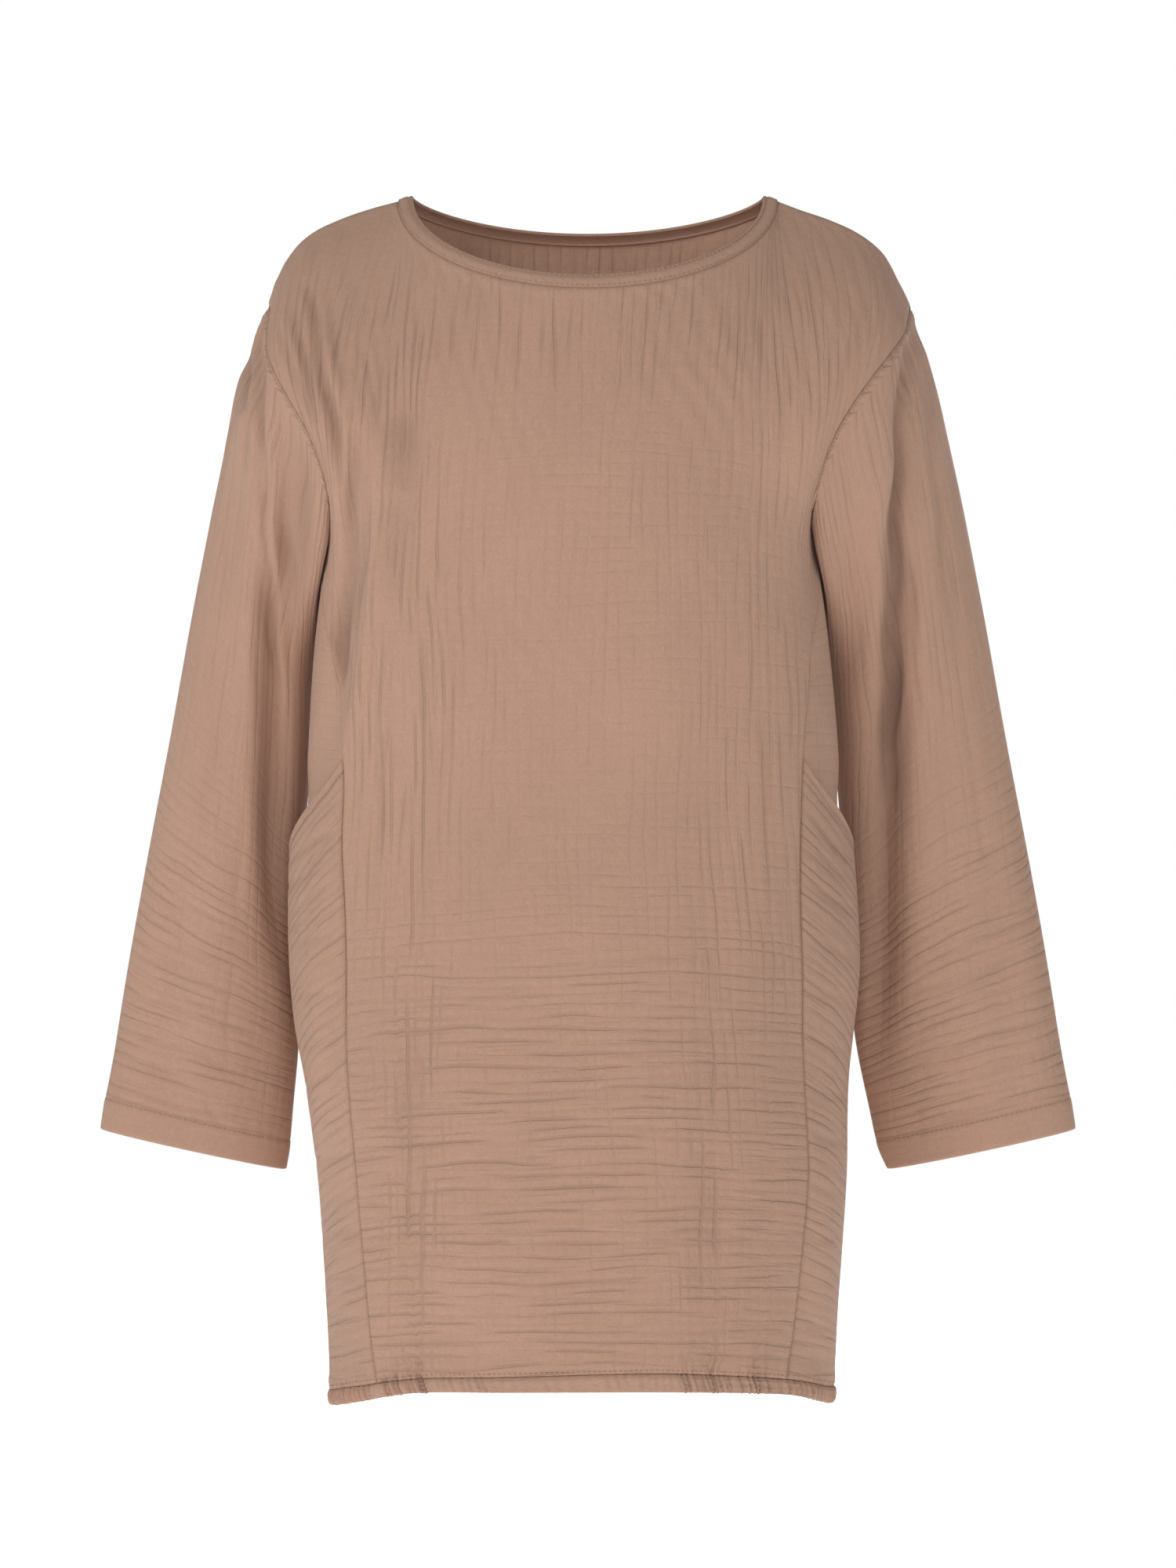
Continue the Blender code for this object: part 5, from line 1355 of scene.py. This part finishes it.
def armhole_loop(side):
    """The armhole as sewn: points, the way off its edge, degrees round the sleeve and the
    distance from the shoulder tip, which is a minus on the back."""
    parts = []
    for face in (FRONT, BACK):
        row = np.linspace(0, ARMHOLE_ROWS, 88)
        cells = PANEL_CELLS[face][0]
        edge = 0.0 if side == LEFT else 1.0
        inner = edge + (1.5 / cells if side == LEFT else -1.5 / cells)
        line = panel(face, np.full_like(row, edge), row)
        beside = panel(face, np.full_like(row, inner), row)
        fall = np.gradient(line, axis=0)
        way = unit(line - beside)
        facing = unit(np.cross(fall, way)) * face * side
        off = unit(np.cross(facing, fall)) * -face * side
        parts.append((line, off))
    under = side_cloth(side, np.array([0.6, 0.0, -0.6]), np.zeros(3))
    up = np.tile(np.array([0.0, 0.0, 1.0]), (3, 1))
    loop = [np.concatenate([front, middle, back[:0:-1]])
            for front, middle, back in zip(parts[0], (under, up), parts[1])]
    steps = np.linalg.norm(np.roll(loop[0], -1, axis=0) - loop[0], axis=1)
    lengths = np.concatenate([[0.0], np.cumsum(steps)])
    places = np.linspace(0, lengths[-1], SLEEVE_CELLS, endpoint=False)
    closed = [np.concatenate([part, part[:1]]) for part in loop]
    seam, off = (read_along(places, lengths, part) for part in closed)
    for _ in range(6):
        off += 0.5 * ((np.roll(off, 1, axis=0) + np.roll(off, -1, axis=0)) / 2 - off)
    under_at = lengths[len(parts[0][0]) + 1]
    degrees = np.interp(places, (0, under_at, lengths[-1]), (0, 180, 360))
    from_tip = np.minimum(places, lengths[-1] - places)
    from_tip = np.where(places < lengths[-1] / 2, from_tip, -from_tip)
    return seam, unit(off), degrees, from_tip


def head_gathers(from_tip, drop):
    """Uneven small gathers of the sleeve head, fading downwards."""
    far = np.abs(from_tip)
    phase = (from_tip / GATHER_PITCH + 0.24 * np.sin(from_tip / 13.0)
             + 0.16 * np.sin(from_tip / 5.1 + 1))
    swing = 1.15 * ease((GATHER_REACH - far) / 22) * (1 + 0.3 * np.sin(from_tip / 8.3))
    reach = 64 + 26 * np.sin(from_tip / 10.7 + 0.8)
    fade = ease(drop / 5.0) * np.clip(1 - drop / reach, 0, 1)
    return swing * fade * np.cos(2 * np.pi * phase)


def cuff_relief(hem):
    """Forms of the turned cuff by the distance above its edge: the doubled cloth, the groove
    of its stitches with the puckers beside it, and the rounded edge."""
    turns = np.linspace(0, 2 * np.pi, SLEEVE_CELLS, endpoint=False)[None]
    pucker = 0.16 * np.sin(turns * 29 + 2 * np.sin(turns * 5))
    from_stitches = hem - CUFF_STITCHES_AT
    relief = pucker * np.exp(-(from_stitches / 5.0) ** 2)
    relief += 0.35 * ease((CUFF_HEM + 0.5 - hem) / 2.5)
    relief -= 0.45 * np.exp(-(from_stitches / 1.3) ** 2)
    return relief - 0.25 * np.exp(-(hem / 1.4) ** 2)


def sew_sleeve(name, side):
    seam, off_edge, degrees, from_tip = armhole_loop(side)
    drops = np.concatenate([[0, 0.7, 1.6], np.arange(3.0, 510, 2.9), np.arange(511.0, 538, 1.35),
                            [SLEEVE_END]])
    around, drop = np.meshgrid(degrees, drops)
    points, carry = sleeve_cloth(side, seam, off_edge, around, drop)
    flip = -side
    outward = flip * grid_normals(points, True)
    swell = HEAD_SWELL * carry * drop / SWELL_DROP * np.exp(1 - drop / SWELL_DROP)
    outside = ease(np.cos(np.radians(around)) / 0.8)
    fuller = HEAD_FULLER[side] * np.exp(-((drop - 50) / 38) ** 2) * outside * ease(drop / 12)
    height = swell + fuller + sleeve_folds(side, around, drop)
    points = points + outward * height[..., None]
    points[2:] = clear_of_body(side, points[2:])
    points = evened(points, 10, True)
    outward = flip * grid_normals(points, True)
    lengths = lengths_of(points)
    table = LEFT_SLEEVE_CREASES if side == LEFT else RIGHT_SLEEVE_CREASES
    hem = SLEEVE_END - drop
    inner = ease((np.cos(np.radians(around)) + 0.75) / 0.35)
    soft = ripples(lengths) * ease(drop / 30.0) * inner
    shown = creases(table, points) * ease(drop / 6.0) * inner * ease((hem - 14) / 8)
    gathers = head_gathers(from_tip[None], drop)
    height = soft + shown + gathers
    # painted shade: darker in creases, in the troughs of the head's gathers, at the armhole seam
    # and in the cuff's stitch groove
    hollow = (np.clip(-shown, 0, None) + np.clip(-gathers, 0, None) * 2.2
              + seam_shade(drop, SEAM_SHADE)
              + seam_shade(hem - CUFF_STITCHES_AT, STITCH_SHADE))
    height += 0.5 * np.exp(-((drop - ALLOWANCE_AT) / 3.0) ** 2)
    height += cuff_relief(hem) - 0.6 * np.exp(-(drop / ROLL_WIDTH) ** 2)
    points = points + outward * height[..., None]
    if side == RIGHT:
        points, hollow, drop, hem = (part[:, ::-1] for part in (points, hollow, drop, hem))
    under = int(np.argmin(points[0, :, 2]))
    points, hollow, drop, hem = (np.roll(part, -under, axis=1)
                                 for part in (points, hollow, drop, hem))
    thickness = CLOTH + (HEM_CLOTH - CLOTH) * ease((CUFF_HEM - hem) / 2.5)
    low = ease((drop - 200) / 200) * ease((hem - 18) / 6)
    upright = (0.5 + 0.4 * ease((70 - drop) / 60) - 0.2 * low) * ease((hem - 18) / 6)
    return Piece(name, points, grid_normals(points, True), thickness, True, upright,
                 0.12 + 0.75 * low, hollow, "both ends")


def sew_band(name):
    """Folded band round the neck: its seam edge, belly and top fold."""
    turns = np.radians(np.linspace(-90, 90, 150))
    loops = []
    for table in ((NECK_HALF_WIDTH, NECK_POINT_Z, NECK_MIDDLE),
                  (BAND_HALF_WIDTH, BAND_POINT_Z, BAND_MIDDLE)):
        front, back = (neck_loop(face, turns, *table) for face in (FRONT, BACK))
        loops.append(np.concatenate([front[:-1], back[:0:-1]]))
    bottom, top = loops
    shares = np.array([0, 0.06, 0.14, 0.26, 0.4, 0.55, 0.7, 0.8, 0.88, 0.95, 1.0])
    rise = 0.8 * np.sin(np.pi * shares) - 0.5 * np.exp(-((shares - 0.80) / 0.05) ** 2)
    rise -= 0.7 * np.exp(-(shares / 0.07) ** 2)
    points = top + (bottom - top) * (1 - shares[::-1, None, None])
    rise = rise[::-1][:, None]
    outward = grid_normals(points, True)
    steps = np.arange(points.shape[1]) / points.shape[1] * 2 * np.pi
    pucker = 0.14 * np.sin(steps * 97 + 3 * np.sin(steps * 7))
    pucker = pucker * np.sin(np.pi * shares[::-1])[:, None]
    points = points + outward * (rise + pucker)[..., None]
    # painted shade in the grooves of the band's seam and of its stitches
    groove = (seam_shade((1 - shares[:, None]) * BAND_HEIGHT, BAND_SHADE)
              + seam_shade((shares[::-1, None] - 0.8) * BAND_HEIGHT, STITCH_SHADE))
    return Piece(name, points, grid_normals(points, True), BAND_CLOTH, True, 0.25, 0.0,
                 groove, "bottom")


def sew_casing(name):
    """Elastic casing: its seam edge, gathered belly and turned bottom edge."""
    degrees = np.linspace(0, 360, 860, endpoint=False)[::-1]
    shares = np.array([0, 0.07, 0.16, 0.28, 0.42, 0.56, 0.7, 0.83, 0.93, 1.0])
    swell = np.array([-0.8, 0.0, 0.5, 0.8, 0.95, 1.0, 0.9, 0.7, 0.3, -0.3])
    top, hem = casing_top(degrees), hem_height(degrees)
    z = top + (hem - top) * shares[:, None]
    around = np.broadcast_to(degrees, z.shape)
    points = body_ring(around, z)
    points = points + out_of_body(points) * body_folds(points)[..., None]
    wave = gather_wave(around + 1.6 * shares[:, None])
    turn = np.radians(around)
    # small tucks between the waves, uneven round the hem
    tuck = 0.24 * np.sin(turn * 190 + 4 * np.sin(turn * 9) + 2 * shares[:, None])
    tuck += 0.2 * np.sin(turn * 121 + 3 * np.sin(turn * 13) - 3 * shares[:, None])
    wave = wave * 1.15 + tuck
    height = swell[:, None] + wave * (0.75 + 0.35 * np.sin(np.pi * shares))[:, None]
    points = points + out_of_body(points) * height[..., None]
    # painted shade in the troughs of the gathers and in the groove of the casing seam
    hollow = np.clip(-wave, 0, None) * 1.6 + seam_shade(shares[:, None] * BAND_HEIGHT, BAND_SHADE)
    return Piece(name, points, grid_normals(points, True), BAND_CLOTH, True, 0.3, 0.0,
                 hollow, "bottom")


front = sew_panel("front_cloth", FRONT)
back = sew_panel("back_cloth", BACK)
uppers = {side: sew_upper_side("pocket_lining_" + word, side)
          for side, word in ((LEFT, "left"), (RIGHT, "right"))}
lowers = {side: sew_lower_side("pocket_cloth_" + word, side)
          for side, word in ((LEFT, "left"), (RIGHT, "right"))}
sleeves = {side: sew_sleeve("sleeve_cloth_" + word, side)
           for side, word in ((LEFT, "left"), (RIGHT, "right"))}
band = sew_band("neck_band_cloth")
casing = sew_casing("hem_casing_cloth")

made = {
    "front_panel": sew_mesh(front, BODY_GAUZE),
    "back_panel": sew_mesh(back, BODY_GAUZE),
    "side_upper_left": sew_mesh(uppers[LEFT], POCKET_GAUZE),
    "side_upper_right": sew_mesh(uppers[RIGHT], POCKET_GAUZE),
    "side_lower_left": sew_mesh(lowers[LEFT], POCKET_GAUZE, ("top",)),
    "side_lower_right": sew_mesh(lowers[RIGHT], POCKET_GAUZE, ("top",)),
    "sleeve_left": sew_mesh(sleeves[LEFT], SLEEVE_GAUZE, ("bottom",)),
    "sleeve_right": sew_mesh(sleeves[RIGHT], SLEEVE_GAUZE, ("bottom",)),
    "neck_band": sew_mesh(band, BAND_GAUZE, ("top", "bottom")),
    "hem_casing": sew_mesh(casing, BAND_GAUZE, ("top", "bottom")),
}


def closed_row(piece, row):
    points = lifted(piece.points[row], piece.outward[row])
    return np.concatenate([points, points[:1]]), np.concatenate(
        [piece.outward[row], piece.outward[row][:1]])


def inset_row(piece, distance):
    """Row of a panel at a distance down from its top edge."""
    down = lengths_of(piece.points).down
    at = np.argmax(down[:, down.shape[1] // 2] >= distance)
    return lifted(piece.points[at], piece.outward[at]), piece.outward[at]


def cuff_row(piece):
    """Row round the top of the cuff's turned hem."""
    return closed_row(piece, len(piece.points) - 15)


def hem_rows():
    """Row just over the casing seam, all round."""
    return [(lifted(piece.points[-4], piece.outward[-4]), piece.outward[-4])
            for piece in (front, back, lowers[LEFT], lowers[RIGHT])]


def side_row(piece, column, top_z):
    """Row of stitches down the side of a panel, from a height on."""
    low = piece.points[:, column, 2] < top_z
    return (lifted(piece.points[low, column], piece.outward[low, column], 0.1),
            piece.outward[low, column])


def fine_rows(name, *rows):
    """Rows of the small stitches of a plain seam."""
    return stitches(name, rows, pitch=2.7, length=1.5, radius=0.17)


threads = {
    "armhole_stitches_left": fine_rows("armhole_stitches_left", closed_row(sleeves[LEFT], 2)),
    "armhole_stitches_right": fine_rows("armhole_stitches_right", closed_row(sleeves[RIGHT], 2)),
    "front_seam_stitches": fine_rows("front_seam_stitches", side_row(front, 3, -360),
                                     side_row(front, -4, -300)),
    "back_seam_stitches": fine_rows("back_seam_stitches", side_row(back, 3, -360),
                                    side_row(back, -4, -360)),
    "neck_stitches": stitches("neck_stitches", [closed_row(band, 2), closed_row(band, 8)]),
    "cuff_stitches_left": stitches("cuff_stitches_left", [cuff_row(sleeves[LEFT])]),
    "cuff_stitches_right": stitches("cuff_stitches_right", [cuff_row(sleeves[RIGHT])]),
    "hem_stitches": stitches("hem_stitches", hem_rows()),
    "mouth_stitches_left": stitches("mouth_stitches_left", [inset_row(lowers[LEFT], 5.2)]),
    "mouth_stitches_right": stitches("mouth_stitches_right", [inset_row(lowers[RIGHT], 5.2)]),
}

for node, piece in made.items():
    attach(piece, "root")
    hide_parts(node)
for piece in threads.values():
    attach(piece, "root")


# Floor, light and camera

def pale_floor():
    bpy.ops.mesh.primitive_plane_add(size=12.0, location=(0, 0, -1.02))
    floor = bpy.context.object
    floor.name = "floor"
    material = bpy.data.materials.new("pale floor")
    material.use_nodes = True
    shader = material.node_tree.nodes["Principled BSDF"]
    shader.inputs["Base Color"].default_value = (0.95, 0.95, 0.95, 1.0)
    shader.inputs["Emission Color"].default_value = (1.0, 1.0, 1.0, 1.0)
    shader.inputs["Emission Strength"].default_value = 0.75
    shader.inputs["Roughness"].default_value = 1.0
    shader.inputs["Specular IOR Level"].default_value = 0.0
    floor.data.materials.append(material)
    return floor


def lamp(name, place, aim, size, watts):
    light = bpy.data.lights.new(name, "AREA")
    light.size = size
    light.energy = watts
    holder = bpy.data.objects.new(name, light)
    bpy.context.scene.collection.objects.link(holder)
    holder.location = place
    way = np.array(aim, float) - np.array(place, float)
    flat = math.hypot(way[0], way[1])
    holder.rotation_euler = (math.atan2(flat, -way[2]), 0.0, math.atan2(-way[0], way[1]))
    return holder


bpy.ops.object.select_all(action="DESELECT")
pale_floor()
lamp("key", (-2.5, -2.5, 1.9), (0.0, 0.0, -0.25), 1.1, 46.0)
lamp("front light", (0.5, -4.7, 0.6), (0.0, 0.0, -0.35), 1.6, 36.0)
lamp("back light", (1.4, 4.4, 1.2), (0.0, 0.0, -0.35), 1.6, 62.0)
world = bpy.data.worlds.new("studio")
world.use_nodes = True
tree = world.node_tree
tree.nodes["Background"].inputs["Color"].default_value = (1.0, 1.0, 1.0, 1.0)
seen = tree.nodes.new("ShaderNodeLightPath").outputs["Is Camera Ray"]
tree.links.new(spread(tree, seen, 0.0, 1.0, 0.29, 1.0),
               tree.nodes["Background"].inputs["Strength"])
bpy.context.scene.world = world
bpy.context.scene.view_settings.view_transform = "Standard"

camera = bpy.data.cameras.new("camera")
camera.sensor_fit = "VERTICAL"
camera.sensor_height = 36.0
camera.lens = 162.0
camera.clip_end = 60.0
holder = bpy.data.objects.new("camera", camera)
bpy.context.scene.collection.objects.link(holder)
holder.location = (0.0, -4.5, -0.375)
holder.rotation_euler = (math.radians(90.0), 0.0, 0.0)
bpy.context.scene.camera = holder
